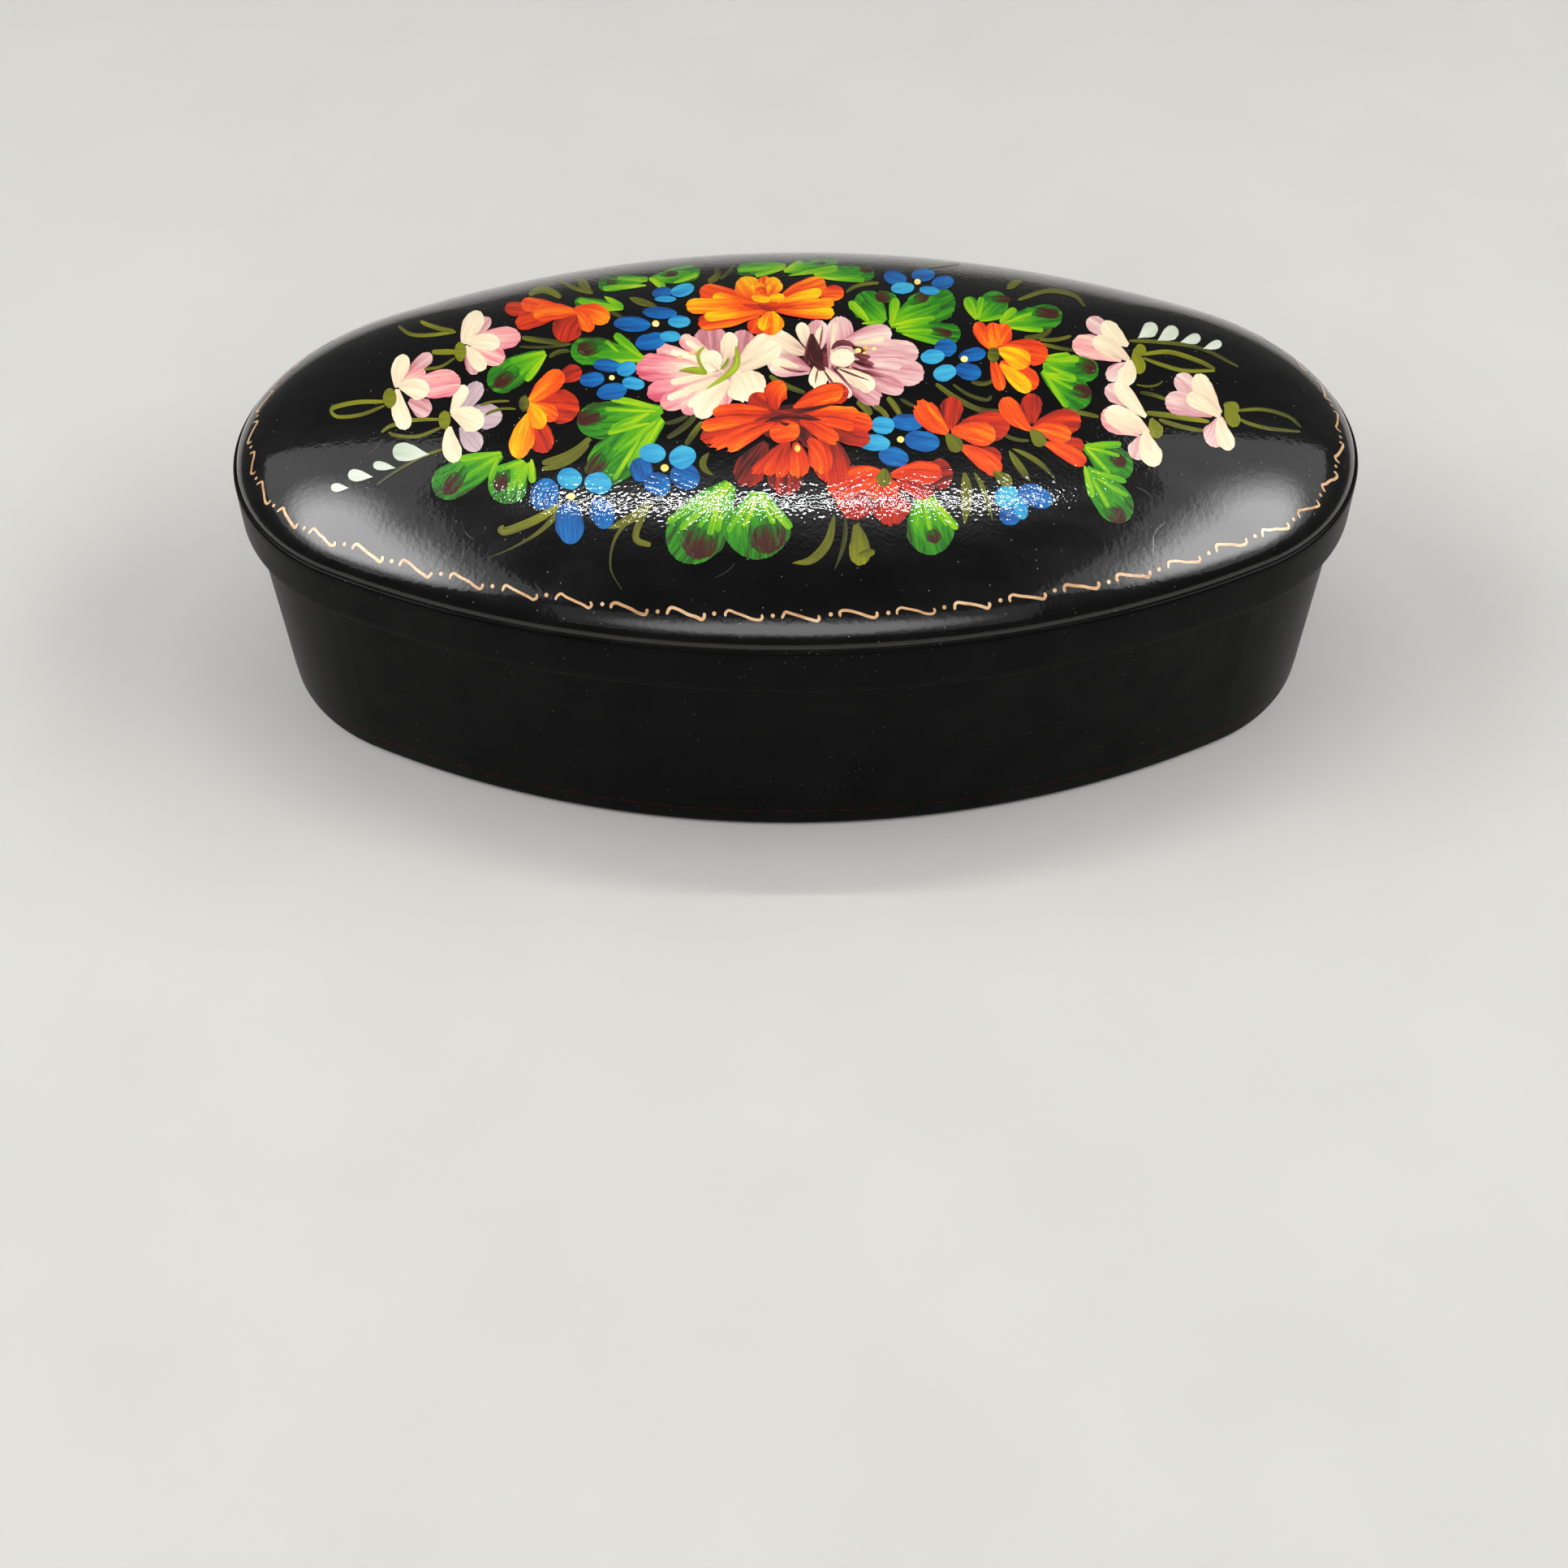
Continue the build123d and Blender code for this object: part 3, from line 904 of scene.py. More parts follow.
def pigment(name, stops, streak=0.2, hair_mm=0.28, metallic=0.0):
    """Oil paint with streaks of hair_mm, lacquered over."""
    made, tree = new_material(name)
    brush = node(tree, "ShaderNodeUVMap", uv_map="brush").outputs[0]
    tone = node(tree, "ShaderNodeAttribute", attribute_name="tone")
    place = node(tree, "ShaderNodeTexCoord").outputs["Object"]
    drawn = node(tree, "ShaderNodeMapping", {"Vector": brush, "Scale": STREAK_STRETCH})
    trailing = node(tree, "ShaderNodeMapping", {"Vector": brush, "Scale": TRACK_STRETCH})
    hairs = node(tree, "ShaderNodeTexNoise", {
        "Vector": drawn.outputs[0], "Scale": 1 / hair_mm, "Detail": 2.0, "Roughness": 0.6})
    loads, tracks, skin_grain = [
        node(tree, "ShaderNodeTexNoise", {"Vector": where, "Scale": scale, "Detail": 1.0})
        for where, scale in (
            (drawn.outputs[0], 1 / LOAD_MM), (trailing.outputs[0], 1 / TRACK_MM),
            (place, per_metre(SKIN_GRAIN_MM)))]
    both = node(tree, "ShaderNodeMath", {
        0: hairs.outputs["Fac"], 1: loads.outputs["Fac"]}, operation="ADD")
    shift = node(tree, "ShaderNodeMapRange", {
        "Value": both.outputs[0], "From Min": 0.7, "From Max": 1.3,
        "To Min": -streak, "To Max": streak})
    mixed = node(tree, "ShaderNodeMath", {0: tone.outputs["Fac"], 1: shift.outputs[0]}, operation="ADD")
    colours = node(tree, "ShaderNodeValToRGB", {"Fac": mixed.outputs[0]})
    set_ramp(colours, stops)
    rough_skin = node(tree, "ShaderNodeMath", {
        0: tracks.outputs["Fac"], 1: skin_grain.outputs["Fac"]}, operation="ADD")
    relief = node(tree, "ShaderNodeBump", {
        "Height": rough_skin.outputs[0], "Strength": 1.0, "Distance": RELIEF_MM * MM}).outputs[0]
    shader = node(tree, "ShaderNodeBsdfPrincipled", {
        "Base Color": colours.outputs["Color"], "Roughness": 0.5, "Specular IOR Level": 0.25,
        "Metallic": metallic, "Coat Weight": 1.0, "Coat Roughness": 0.03,
        "Normal": relief, "Coat Normal": relief})
    node(tree, "ShaderNodeOutputMaterial", {"Surface": shader.outputs[0]})
    return made


# %% Set out the palette
# A name in capitals is a place on the ramp below it.
MAROON, CRIMSON, RED, ORANGE, AMBER, YELLOW = 0.0, 0.2, 0.4, 0.6, 0.8, 0.95
warm_oil = pigment("warm_oil_colours", [
    (0.0, "#2E0806"), (0.2, "#7E190C"), (0.4, "#BC2808"), (0.6, "#DD4906"), (0.8, "#E38500"),
    (1.0, "#E4B900")], streak=0.15)
WINE, PLUM, MAUVE, LILAC, PEARL = 0.0, 0.25, 0.5, 0.75, 1.0
mauve_oil = pigment("mauve_oil_colours", [
    (0.0, "#320909"), (0.25, "#803740"), (0.5, "#B7747B"), (0.75, "#CFA3A1"), (1.0, "#E0CEBE")],
    streak=0.17)
PINK, BLUSH, SHELL = 0.48, 0.72, 0.92
pink_oil = pigment("pink_oil_colours", [
    (0.0, "#712038"), (0.25, "#C0475C"), (0.48, "#D47B84"), (0.7, "#DEAA9F"), (0.85, "#E0CCB1"),
    (1.0, "#E5E3C1")], streak=0.17)
SHADE, BONE, IVORY, CREAM = 0.3, 0.5, 0.75, 0.93
cream_oil = pigment("cream_oil_colours", [
    (0.0, "#84705C"), (0.3, "#BA9584"), (0.5, "#D4BCA1"), (0.75, "#DDCCAA"), (1.0, "#E3D9BC")])
BLUE, SKY = 0.3, 0.85
blue_oil = pigment("blue_oil_colours", [
    (0.0, "#032B5A"), (0.3, "#035396"), (0.6, "#1274AC"), (1.0, "#3AA0BF")])
BARK, FERN, GREEN, SPRING, LIME = 0.0, 0.25, 0.42, 0.72, 0.95
leaf_oil = pigment("leaf_green_oil", [
    (0.0, "#360C04"), (0.12, "#3C1A04"), (0.24, "#164A06"), (0.42, "#257A09"), (0.7, "#569E00"),
    (1.0, "#9DBC00")], streak=0.17)
DIM, OLIVE, MOSS = 0.1, 0.5, 0.9
olive_oil = pigment("olive_stem_oil", [
    (0.0, "#2E300B"), (0.5, "#5A5C0E"), (1.0, "#787A0A")], streak=0.25)
white_oil = pigment("titanium_white_oil", [
    (0.0, "#87946F"), (0.4, "#AEB9A3"), (1.0, "#CACFC0")])
gold_line = pigment("gold_paint_line", [
    (0.0, "#9A7048"), (0.5, "#CBA074"), (1.0, "#E2C7A0")], streak=0.3, hair_mm=0.5, metallic=0.25)
print("pigments:", [m.name for m in bpy.data.materials if "oil" in m.name or "gold" in m.name])

# %% [markdown]
# ## Stems and grasses
#
# The first things that go on the black ground are the thin olive stems, tendrils and blades of
# grass that loosen the edge of the bouquet. They are drawn with the tip of a fine brush.

# %% Paint the upper grasses
paint("grass_upper", [
    line([(652, 364), (670, 357), (691, 367)], 9, OLIVE),
    line([(685, 343), (706, 354), (731, 361)], 6, DIM, OLIVE),
    blade([(714, 342), (720, 352), (729, 360)], 12, OLIVE),
    blade([(775, 367), (793, 373), (810, 378)], 9, OLIVE),
    line([(750, 384), (760, 388), (769, 394)], 6, DIM),
    line([(872, 347), (884, 340), (881, 330)], 9, OLIVE, DIM),
    line([(887, 344), (897, 336), (904, 326)], 5, DIM),
    line([(643, 416), (668, 420), (702, 423)], 7, OLIVE, DIM),
    line([(640, 427), (672, 428), (704, 424)], 4, DIM),
    line([(677, 441), (688, 434), (702, 433)], 6, DIM),
    line([(1043, 361), (1058, 352), (1083, 349)], 5, DIM, OLIVE),
    line([(1135, 331), (1160, 327), (1182, 325)], 4, DIM),
    blade([(1241, 357), (1249, 350), (1260, 347)], 10, OLIVE),
    line([(1254, 370), (1290, 359), (1322, 364), (1337, 378)], 6, OLIVE, DIM),
    line([(1262, 416), (1283, 414), (1295, 405)], 7, DIM),
    line([(1280, 418), (1300, 419), (1320, 414)], 5, OLIVE),
    line([(1284, 424), (1303, 429), (1324, 432)], 5, OLIVE, DIM),
], olive_oil, 0.02)

# %% Paint the grasses between the flowers
paint("grass_middle", [
    line([(948, 463), (968, 475), (992, 484)], 7, OLIVE, DIM),
    line([(1153, 473), (1178, 491), (1207, 505), (1236, 507)], 7, OLIVE, DIM),
    line([(1174, 474), (1194, 487), (1215, 493), (1222, 488)], 5, DIM),
    line([(1196, 470), (1214, 473), (1225, 466)], 6, DIM),
    line([(1230, 528), (1246, 540), (1268, 543)], 5, DIM),
    line([(1308, 505), (1332, 509), (1354, 514)], 6, OLIVE),
    blade([(1243, 555), (1258, 578), (1270, 594)], 10, OLIVE, DIM),
    blade([(1247, 553), (1278, 569), (1301, 592)], 7, OLIVE, DIM),
    line([(1056, 494), (1067, 503), (1072, 512)], 10, OLIVE),
    line([(1075, 500), (1086, 506), (1094, 516)], 7, OLIVE),
    line([(1093, 490), (1102, 500), (1109, 512)], 8, OLIVE),
    line([(1110, 492), (1118, 497), (1127, 501)], 5, DIM),
    line([(866, 520), (855, 534), (845, 549)], 8, OLIVE, DIM),
    line([(860, 506), (846, 524), (822, 540)], 8, DIM),
    line([(848, 512), (834, 519), (820, 522)], 6, DIM),
    blade([(874, 558), (866, 574), (880, 586)], 9, OLIVE),
    line([(727, 540), (702, 560), (668, 571)], 10, OLIVE),
    line([(725, 547), (700, 569), (668, 578)], 8, OLIVE),
], olive_oil, 0.03)

# %% Paint the lower grasses
paint("grass_lower", [
    line([(688, 624), (655, 643), (622, 655), (617, 648)], 11, MOSS, OLIVE),
    line([(688, 630), (655, 662), (600, 688)], 8, OLIVE, DIM, kind="comma"),
    blade([(800, 620), (776, 640), (748, 651)], 12, OLIVE),
    line([(794, 622), (760, 660), (752, 698), (766, 727)], 6, OLIVE, DIM, kind="comma"),
    line([(800, 624), (787, 646), (784, 665), (802, 672)], 9, OLIVE),
    blade([(1028, 634), (1020, 668), (1000, 690), (976, 694)], 12, OLIVE),
    blade([(1041, 634), (1040, 668), (1028, 702)], 6, DIM),
    blade([(1188, 582), (1191, 612), (1188, 647)], 14, OLIVE),
    blade([(1200, 582), (1213, 608), (1223, 642)], 7, OLIVE),
    petal(1054, 646, 1058, 697, 26, OLIVE, MOSS, bend=-3),
    petal(1056, 684, 1078, 680, 10, OLIVE),
], olive_oil, 0.03)

# %% [markdown]
# ## Leaves
#
# A leaf is one broad green stroke or two. Near its round end it gets a brown heart, as if in
# shade, and along its edges a few lime strokes catch the light.


# %% Set down one leaf
INNER_LENGTH = 0.8
INNER_WIDTH = 0.66
# The brown heart is a soft patch with a darker one in it. Shares of the heart's size say how far
# each reaches towards the stalk and how wide it is, and how far the soft one reaches outwards.
SOFT_BACK, SOFT_OUT, SOFT_WIDTH = 1.5, 1.1, 1.12
DARK_BACK, DARK_WIDTH = 0.8, 0.8


def leaf(x0, y0, x1, y1, width, heart=None, lights=(), bend=0.0):
    """A leaf from its stalk to its round end, with a brown heart and lime lights."""
    inner_x, inner_y = x0 + (x1 - x0) * INNER_LENGTH, y0 + (y1 - y0) * INNER_LENGTH
    strokes = [
        petal(x0, y0, x1, y1, width, GREEN + 0.12, FERN + 0.1, bend, 0.01),
        petal(x0, y0, inner_x, inner_y, width * INNER_WIDTH, SPRING, GREEN - 0.02, bend, 0.05),
    ]
    if heart:
        x, y, long, wide, turned = heart
        reach = np.array([cos(radians(turned)), sin(radians(turned))]) * long / 2
        if np.dot(reach, [x1 - x0, y1 - y0]) < 0:
            reach = -reach
        centre = np.array([x, y])
        soft_ends = [centre - reach * SOFT_BACK, centre, centre + reach * SOFT_OUT]
        dark_ends = [centre - reach * DARK_BACK, centre, centre + reach]
        strokes += [
            stroke("patch", soft_ends, wide * SOFT_WIDTH, FERN + 0.14, BARK + 0.06, 0.08),
            stroke("patch", dark_ends, wide * DARK_WIDTH, FERN - 0.02, BARK, 0.12)]
    for light in lights:
        strokes.append(petal(*light, LIME - 0.05, SPRING, 0.0, 0.02))
    return strokes


print("a plain leaf has", len(leaf(0, 0, 60, 0, 20)), "strokes")

# %% Paint the leaves at the top
paint("leaves_top_left", [
    leaf(798, 344, 737, 352, 20, (755, 348, 16, 5, 0),
          [(796, 352, 742, 356, 7), (798, 347, 760, 343, 5)]),
    leaf(800, 345, 863, 335, 21, (826, 338, 18, 6, -8),
          [(800, 343, 820, 355, 9), (830, 349, 860, 338, 7)]),
    leaf(768, 380, 708, 372, 15, None,
          [(768, 381, 712, 371, 8), (766, 382, 716, 381, 6), (745, 366, 768, 380, 9)]),
    leaf(793, 442, 703, 430, 36, (725, 429, 27, 17, -15),
          [(792, 441, 757, 412, 11), (762, 434, 746, 420, 5), (793, 444, 740, 446, 6)]),
    leaf(672, 435, 602, 476, 38, (622, 467, 30, 17, -38),
          [(672, 434, 628, 446, 8), (673, 437, 648, 470, 10), (672, 436, 640, 462, 6)]),
], leaf_oil, 0.042)
paint("leaves_top", [
    leaf(968, 327, 908, 334, 17, None, [(968, 329, 909, 333, 7), (968, 331, 930, 340, 6)]),
    leaf(966, 334, 1033, 325, 20, (1010, 324, 14, 5, 0),
          [(966, 335, 990, 325, 12), (972, 340, 1030, 330, 6)]),
    leaf(1003, 338, 1078, 337, 21, (1066, 332, 18, 7, 5),
          [(1003, 338, 1032, 330, 9), (1005, 342, 1066, 346, 6)]),
    leaf(1090, 397, 1056, 364, 40, (1089, 366, 21, 13, 8),
          [(1072, 398, 1046, 372, 11), (1062, 399, 1088, 397, 6)]),
    leaf(1096, 400, 1176, 366, 44, (1134, 367, 22, 13, -20),
          [(1098, 400, 1104, 367, 13), (1098, 401, 1152, 392, 8)]),
    leaf(1104, 406, 1184, 413, 26, (1160, 410, 26, 9, 8),
          [(1104, 405, 1145, 396, 8), (1112, 412, 1160, 424, 7), (1108, 408, 1150, 408, 6)]),
], leaf_oil, 0.042)

# %% Paint the leaves on the right
paint("leaves_right", [
    leaf(1204, 394, 1192, 366, 17, None, [(1203, 394, 1190, 367, 13)]),
    leaf(1205, 394, 1238, 364, 36, (1232, 369, 26, 9, 3),
          [(1205, 393, 1209, 366, 9), (1208, 396, 1236, 390, 6)]),
    leaf(1232, 398, 1309, 389, 31, (1288, 386, 34, 11, 8),
          [(1232, 397, 1252, 381, 12), (1242, 404, 1286, 407, 7), (1240, 398, 1272, 386, 5)]),
    leaf(1285, 450, 1354, 458, 32, (1340, 452, 22, 16, 25),
          [(1286, 444, 1330, 443, 11), (1286, 440, 1318, 437, 6), (1292, 452, 1326, 466, 6)]),
    leaf(1284, 457, 1342, 498, 38, (1332, 482, 26, 15, 15),
          [(1285, 458, 1316, 503, 9), (1287, 461, 1327, 468, 9), (1288, 462, 1322, 480, 5)]),
    leaf(1337, 550, 1394, 584, 42, (1376, 566, 26, 14, 35),
          [(1336, 549, 1382, 548, 9), (1338, 552, 1368, 584, 7), (1337, 551, 1380, 562, 5)]),
    leaf(1338, 577, 1390, 641, 44, (1376, 634, 26, 19, 40),
          [(1336, 574, 1346, 614, 9), (1344, 580, 1388, 594, 7), (1352, 590, 1390, 612, 6),
           (1346, 590, 1366, 626, 6)]),
], leaf_oil, 0.042)

# %% Paint the leaves on the left
paint("leaves_left", [
    leaf(816, 504, 711, 520, 46, (727, 514, 32, 18, -18),
          [(813, 503, 752, 491, 9), (808, 507, 745, 504, 6), (800, 510, 752, 531, 12)], bend=-4),
    leaf(816, 516, 728, 590, 56, (736, 572, 36, 20, -52),
          [(816, 517, 776, 578, 14), (808, 520, 762, 556, 8), (800, 522, 748, 534, 7),
           (790, 538, 756, 592, 6)]),
    leaf(618, 560, 534, 606, 44, (558, 594, 34, 20, -55),
          [(618, 558, 566, 566, 9), (614, 564, 604, 593, 8), (612, 562, 580, 584, 5)]),
    leaf(645, 568, 612, 618, 50, (618, 593, 26, 18, -75),
          [(646, 568, 611, 579, 8), (649, 571, 626, 606, 8), (652, 570, 640, 603, 8),
           (655, 566, 656, 596, 10)]),
], leaf_oil, 0.045)

# %% Paint the lower leaves
paint("leaves_lower", [
    leaf(900, 596, 834, 690, 72, (862, 668, 42, 40, -74),
          [(900, 595, 822, 644, 10), (898, 600, 838, 652, 9), (886, 618, 874, 660, 8),
           (892, 606, 862, 650, 6), (889, 632, 884, 656, 8)]),
    leaf(934, 606, 932, 690, 84, (945, 662, 40, 42, 84),
          [(936, 606, 975, 652, 11), (932, 608, 896, 656, 9), (934, 612, 916, 650, 7),
           (936, 612, 954, 646, 8)]),
    leaf(1138, 606, 1150, 684, 58, (1150, 660, 20, 16, 60),
          [(1138, 606, 1180, 652, 10), (1140, 612, 1168, 648, 6), (1138, 612, 1146, 654, 6),
           (1136, 614, 1130, 650, 6)]),
], leaf_oil, 0.045)

# %% [markdown]
# ## Forget-me-nots
#
# Five round dabs make a forget-me-not, two in light blue on the lit side and three in a deeper
# blue, with a cream dot in the middle. Those at the edge show fewer of their dabs.


# %% Paint the forget-me-nots
DAB_SPREAD = 0.06
DOT_FLATNESS = 0.9
DOT_TONE = 0.8


def forget_me_not(letter, dabs, dot=None):
    """Round dabs (x, y, width, height, turned, tone) and a cream dot (x, y, width)."""
    name = "forget_me_not_" + letter
    paint(name, [
        oval(x, y, wide, high, tone - DAB_SPREAD, tone + DAB_SPREAD, turned)
        for x, y, wide, high, turned, tone in dabs], blue_oil, 0.07)
    if dot:
        paint(name + "_dot", [oval(*dot, dot[2] * DOT_FLATNESS, DOT_TONE)], cream_dot, 0.085)


cream_dot = pigment("naples_yellow_dots", [
    (0.0, "#BA8F24"), (0.5, "#DFC154"), (1.0, "#EDDF9B")], streak=0.25)
forget_me_not("a", [
    (816, 361, 26, 14, -8, BLUE), (841, 358, 30, 16, -14, SKY), (820, 369, 27, 8, 0, SKY - 0.1)])
forget_me_not("b", [
    (779, 400, 46, 19, 3, BLUE), (813, 386, 43, 15, 4, BLUE), (802, 421, 39, 22, -12, BLUE),
    (837, 397, 28, 15, 0, SKY), (826, 415, 26, 14, 4, SKY)], (808, 399.5, 9))
forget_me_not("c", [
    (748, 451, 34, 17, 5, BLUE), (729.5, 468, 31, 19, -5, BLUE), (754, 483, 38, 21, -10, BLUE),
    (772, 455, 25, 18, -20, SKY - 0.1), (780.5, 473, 28, 16, 8, SKY)], (754, 466, 7))
forget_me_not("d", [
    (1103, 343, 29, 19, 15, BLUE), (1137.5, 339.5, 29, 17, -4, BLUE), (1161.5, 349, 28, 17, -10, BLUE),
    (1112, 355.5, 29, 15, -4, SKY), (1145, 358.5, 25, 11, 6, SKY)], (1130.5, 348, 8))
forget_me_not("e", [
    (1165, 429, 28, 22, 0, BLUE), (1198, 438, 34, 18, -10, BLUE), (1193, 458, 33, 22, 12, BLUE),
    (1149, 440, 30, 18, -4, SKY), (1164, 460, 29, 21, -12, SKY)], (1188, 443, 9))
forget_me_not("f", [
    (1118, 521, 40, 22, 2, BLUE), (1136, 544, 44, 26, 8, BLUE), (1101, 563.5, 38, 24, 12, BLUE),
    (1087.7, 524.5, 29, 23, 4, SKY), (1077.5, 546, 39, 21, 3, SKY)], (1109.5, 542, 9))
forget_me_not("g", [
    (790, 579, 31, 28, 70, BLUE), (810, 597, 34, 30, 20, BLUE), (844, 588, 38, 32, 20, BLUE),
    (804, 559, 33, 24, 4, SKY), (841, 563.6, 34, 28, -14, SKY)], (819, 577, 10))
forget_me_not("h", [
    (671, 609, 40, 35, -65, BLUE), (702, 645, 52, 36, 84, BLUE), (742, 633, 39, 30, 75, BLUE),
    (702, 590, 31, 27, 10, SKY), (737, 596, 34, 27, 8, SKY)], (704, 612, 10))
forget_me_not("i", [
    (1275, 612, 45, 28, 22, BLUE), (1244, 636, 27, 24, 15, BLUE),
    (1240, 612, 30, 28, -50, SKY), (1257, 626, 30, 18, 75, SKY - 0.1)])

# %% [markdown]
# ## The two pale blooms
#
# The heart of the bouquet is a pair of pale, peony-like blooms. Their petals are set down one
# over another with a brush that holds pink on one side and cream on the other, so each petal
# is lighter along one edge.

# %% Paint the left pale bloom's far petals
paint("pale_bloom_left_back", [
    oval(880, 452, 66, 46, MAUVE, LILAC),
    petal(878, 440, 874, 401, 46, MAUVE - 0.08, MAUVE + 0.05, tilt=0.08),
    petal(911, 450, 917, 407, 36, MAUVE - 0.05, MAUVE + 0.02, tilt=-0.06),
], mauve_oil, 0.06)
paint("pale_bloom_left_pink", [
    petal(878, 442, 838, 416, 19, BLUSH, BLUSH - 0.05, tilt=0.1),
    petal(870, 448, 809, 430, 22, SHELL, PINK + 0.08, bend=-2, tilt=0.1),
    petal(866, 452, 792, 442, 16, BLUSH, PINK - 0.08),
    petal(866, 458, 783, 455, 30, SHELL - 0.04, PINK - 0.1, tilt=0.12),
    petal(884, 468, 797, 486, 27, BLUSH, PINK - 0.12, tilt=0.08),
    petal(888, 470, 814, 500, 26, SHELL, PINK + 0.04, tilt=-0.08),
    petal(890, 472, 840, 508, 24, BLUSH + 0.1, PINK + 0.12, tilt=0.08),
    petal(896, 470, 892, 502, 18, BLUSH, PINK + 0.16),
], pink_oil, 0.068)

# %% Paint the left pale bloom's cream petals
paint("pale_bloom_left_cream", [
    petal(892, 464, 822, 492, 9, BONE, CREAM), petal(888, 460, 826, 472, 9, BONE, IVORY),
    petal(872, 446, 826, 434, 8, IVORY, CREAM), petal(876, 440, 845, 421, 7, BONE, CREAM),
    petal(898, 470, 860, 516, 28, IVORY - 0.1, CREAM, bend=3, tilt=0.06),
    petal(893, 466, 848, 502, 10, IVORY, CREAM),
    petal(908, 456, 926, 496, 52, IVORY - 0.05, CREAM, bend=-2, ragged=0.06),
    petal(908, 454, 950, 414, 25, BONE, CREAM - 0.04, tilt=0.08),
    petal(912, 458, 962, 425, 24, BONE, CREAM, tilt=-0.05),
    petal(892, 454, 899, 410, 21, SHADE, CREAM - 0.03, bend=2, tilt=0.08),
    oval(875, 446, 31, 27, IVORY, CREAM + 0.05, -30),
    petal(892, 460, 868, 438, 10, BONE, CREAM),
], cream_oil, 0.086)
lime_sepal = pigment("lime_sepal_oil", [
    (0.0, "#4C5A10"), (0.5, "#8E9E1C"), (1.0, "#BCC840")], streak=0.25)
paint("pale_bloom_left_sepals", [
    blade([(907, 427), (908, 448), (896, 463), (869, 481)], 9, 0.4, 0.6),
    line([(898, 442), (894, 450), (888, 456)], 4, 0.3),
    blade([(871, 462), (857, 457), (836, 458)], 9, 0.5, 0.3),
    line([(868, 428), (860, 437), (863, 450), (871, 461)], 4, 0.6, 0.4),
], lime_sepal, 0.112)
orange_smudge = pigment("orange_smudges", [
    (0.0, "#E08860"), (0.5, "#F0B080"), (1.0, "#F8D0A0")])
paint("pale_bloom_left_smudges", [
    oval(853, 435, 8, 6, 0.4, 0.6, -30), oval(838, 441, 7, 5, 0.4, 0.6),
], orange_smudge, 0.1)

# %% Paint the right pale bloom
paint("pale_bloom_right_back", [
    oval(1018, 446, 62, 44, WINE, PLUM),
    petal(1006, 436, 1008, 394, 28, LILAC - 0.1, LILAC, tilt=0.14),
    petal(1024, 456, 1034, 390, 34, MAUVE - 0.06, LILAC + 0.04, bend=5, tilt=-0.14),
    petal(1035, 426, 1099, 411, 27, LILAC - 0.06, PEARL - 0.1, bend=-2, tilt=0.1),
    petal(1044, 434, 1132, 437, 30, LILAC - 0.08, LILAC + 0.02, bend=-2, tilt=-0.1),
    petal(1046, 452, 1139, 463, 34, MAUVE + 0.08, LILAC, bend=-2, tilt=0.12),
    petal(1046, 444, 1112, 450, 16, MAUVE + 0.1, LILAC + 0.06),
    petal(1040, 456, 1114, 482, 22, MAUVE, MAUVE + 0.1, tilt=0.1),
    petal(1036, 462, 1086, 496, 28, MAUVE - 0.05, MAUVE + 0.12, ragged=0.07),
    petal(1014, 453, 1048, 490, 18, LILAC, PEARL - 0.12),
    petal(998, 458, 945, 447, 32, MAUVE + 0.04, LILAC + 0.1, bend=2, tilt=-0.12),
], mauve_oil, 0.06)
paint("pale_bloom_right_cream", [
    petal(994, 436, 946, 411, 27, SHADE + 0.05, CREAM - 0.06, bend=-2, tilt=0.08),
    petal(996, 430, 986, 398, 17, SHADE + 0.1, CREAM - 0.02),
    petal(1004, 436, 1011, 404, 9, BONE, CREAM - 0.1),
    petal(1024, 440, 1029, 398, 7, BONE, IVORY),
    petal(1042, 426, 1090, 418, 8, BONE, IVORY),
    petal(984, 454, 950, 447, 16, BONE + 0.05, IVORY, tilt=0.1),
    petal(1006, 451, 1009, 480, 24, IVORY, CREAM, tilt=0.06, ragged=0.06),
    petal(1016, 454, 1042, 484, 12, BONE, IVORY),
    petal(1032, 456, 1078, 478, 21, IVORY - 0.1, CREAM, tilt=0.06),
    petal(1040, 460, 1070, 484, 9, BONE, IVORY),
    oval(1038, 442, 31, 22, CREAM - 0.12, CREAM + 0.05, -6),
], cream_oil, 0.084)

# %% Draw the right pale bloom's heart and veins
paint("pale_bloom_right_heart", [
    petal(1000, 412, 998, 451, 17, WINE, WINE + 0.03, bend=-1, ragged=0.03),
    petal(1002, 416, 1008, 454, 17, WINE, WINE + 0.02, ragged=0.06),
    oval(1002, 440, 24, 15, WINE, WINE + 0.03, 70),
    petal(1000, 446, 1018, 458, 9, WINE, PLUM - 0.05, ragged=0.2),
    blade([(1024, 432), (1032, 424), (1046, 424), (1056, 431)], 7, WINE, WINE + 0.1),
    petal(1050, 428, 1066, 436, 9, WINE, PLUM - 0.1, ragged=0.25),
    petal(1052, 438, 1074, 444, 9, WINE, PLUM - 0.05, ragged=0.25),
    petal(1052, 446, 1078, 452, 9, WINE, PLUM, ragged=0.25),
    blade([(1048, 452), (1068, 460), (1090, 466)], 3.5, WINE + 0.05, PLUM + 0.05),
    blade([(1024, 452), (1038, 466), (1052, 484)], 3, WINE + 0.05, PLUM + 0.1),
    blade([(1014, 456), (1024, 470), (1034, 484)], 2.5, WINE + 0.05, PLUM),
    blade([(1030, 454), (1050, 462), (1072, 470)], 2.5, WINE + 0.1, PLUM),
    blade([(1008, 456), (1006, 464), (1004, 474)], 2, WINE + 0.1, PLUM + 0.1),
    blade([(1010, 430), (1012, 414), (1014, 402)], 2.5, PLUM, MAUVE),
    blade([(960, 452), (980, 458), (996, 458)], 3, PLUM + 0.1, PLUM),
], mauve_oil, 0.107)
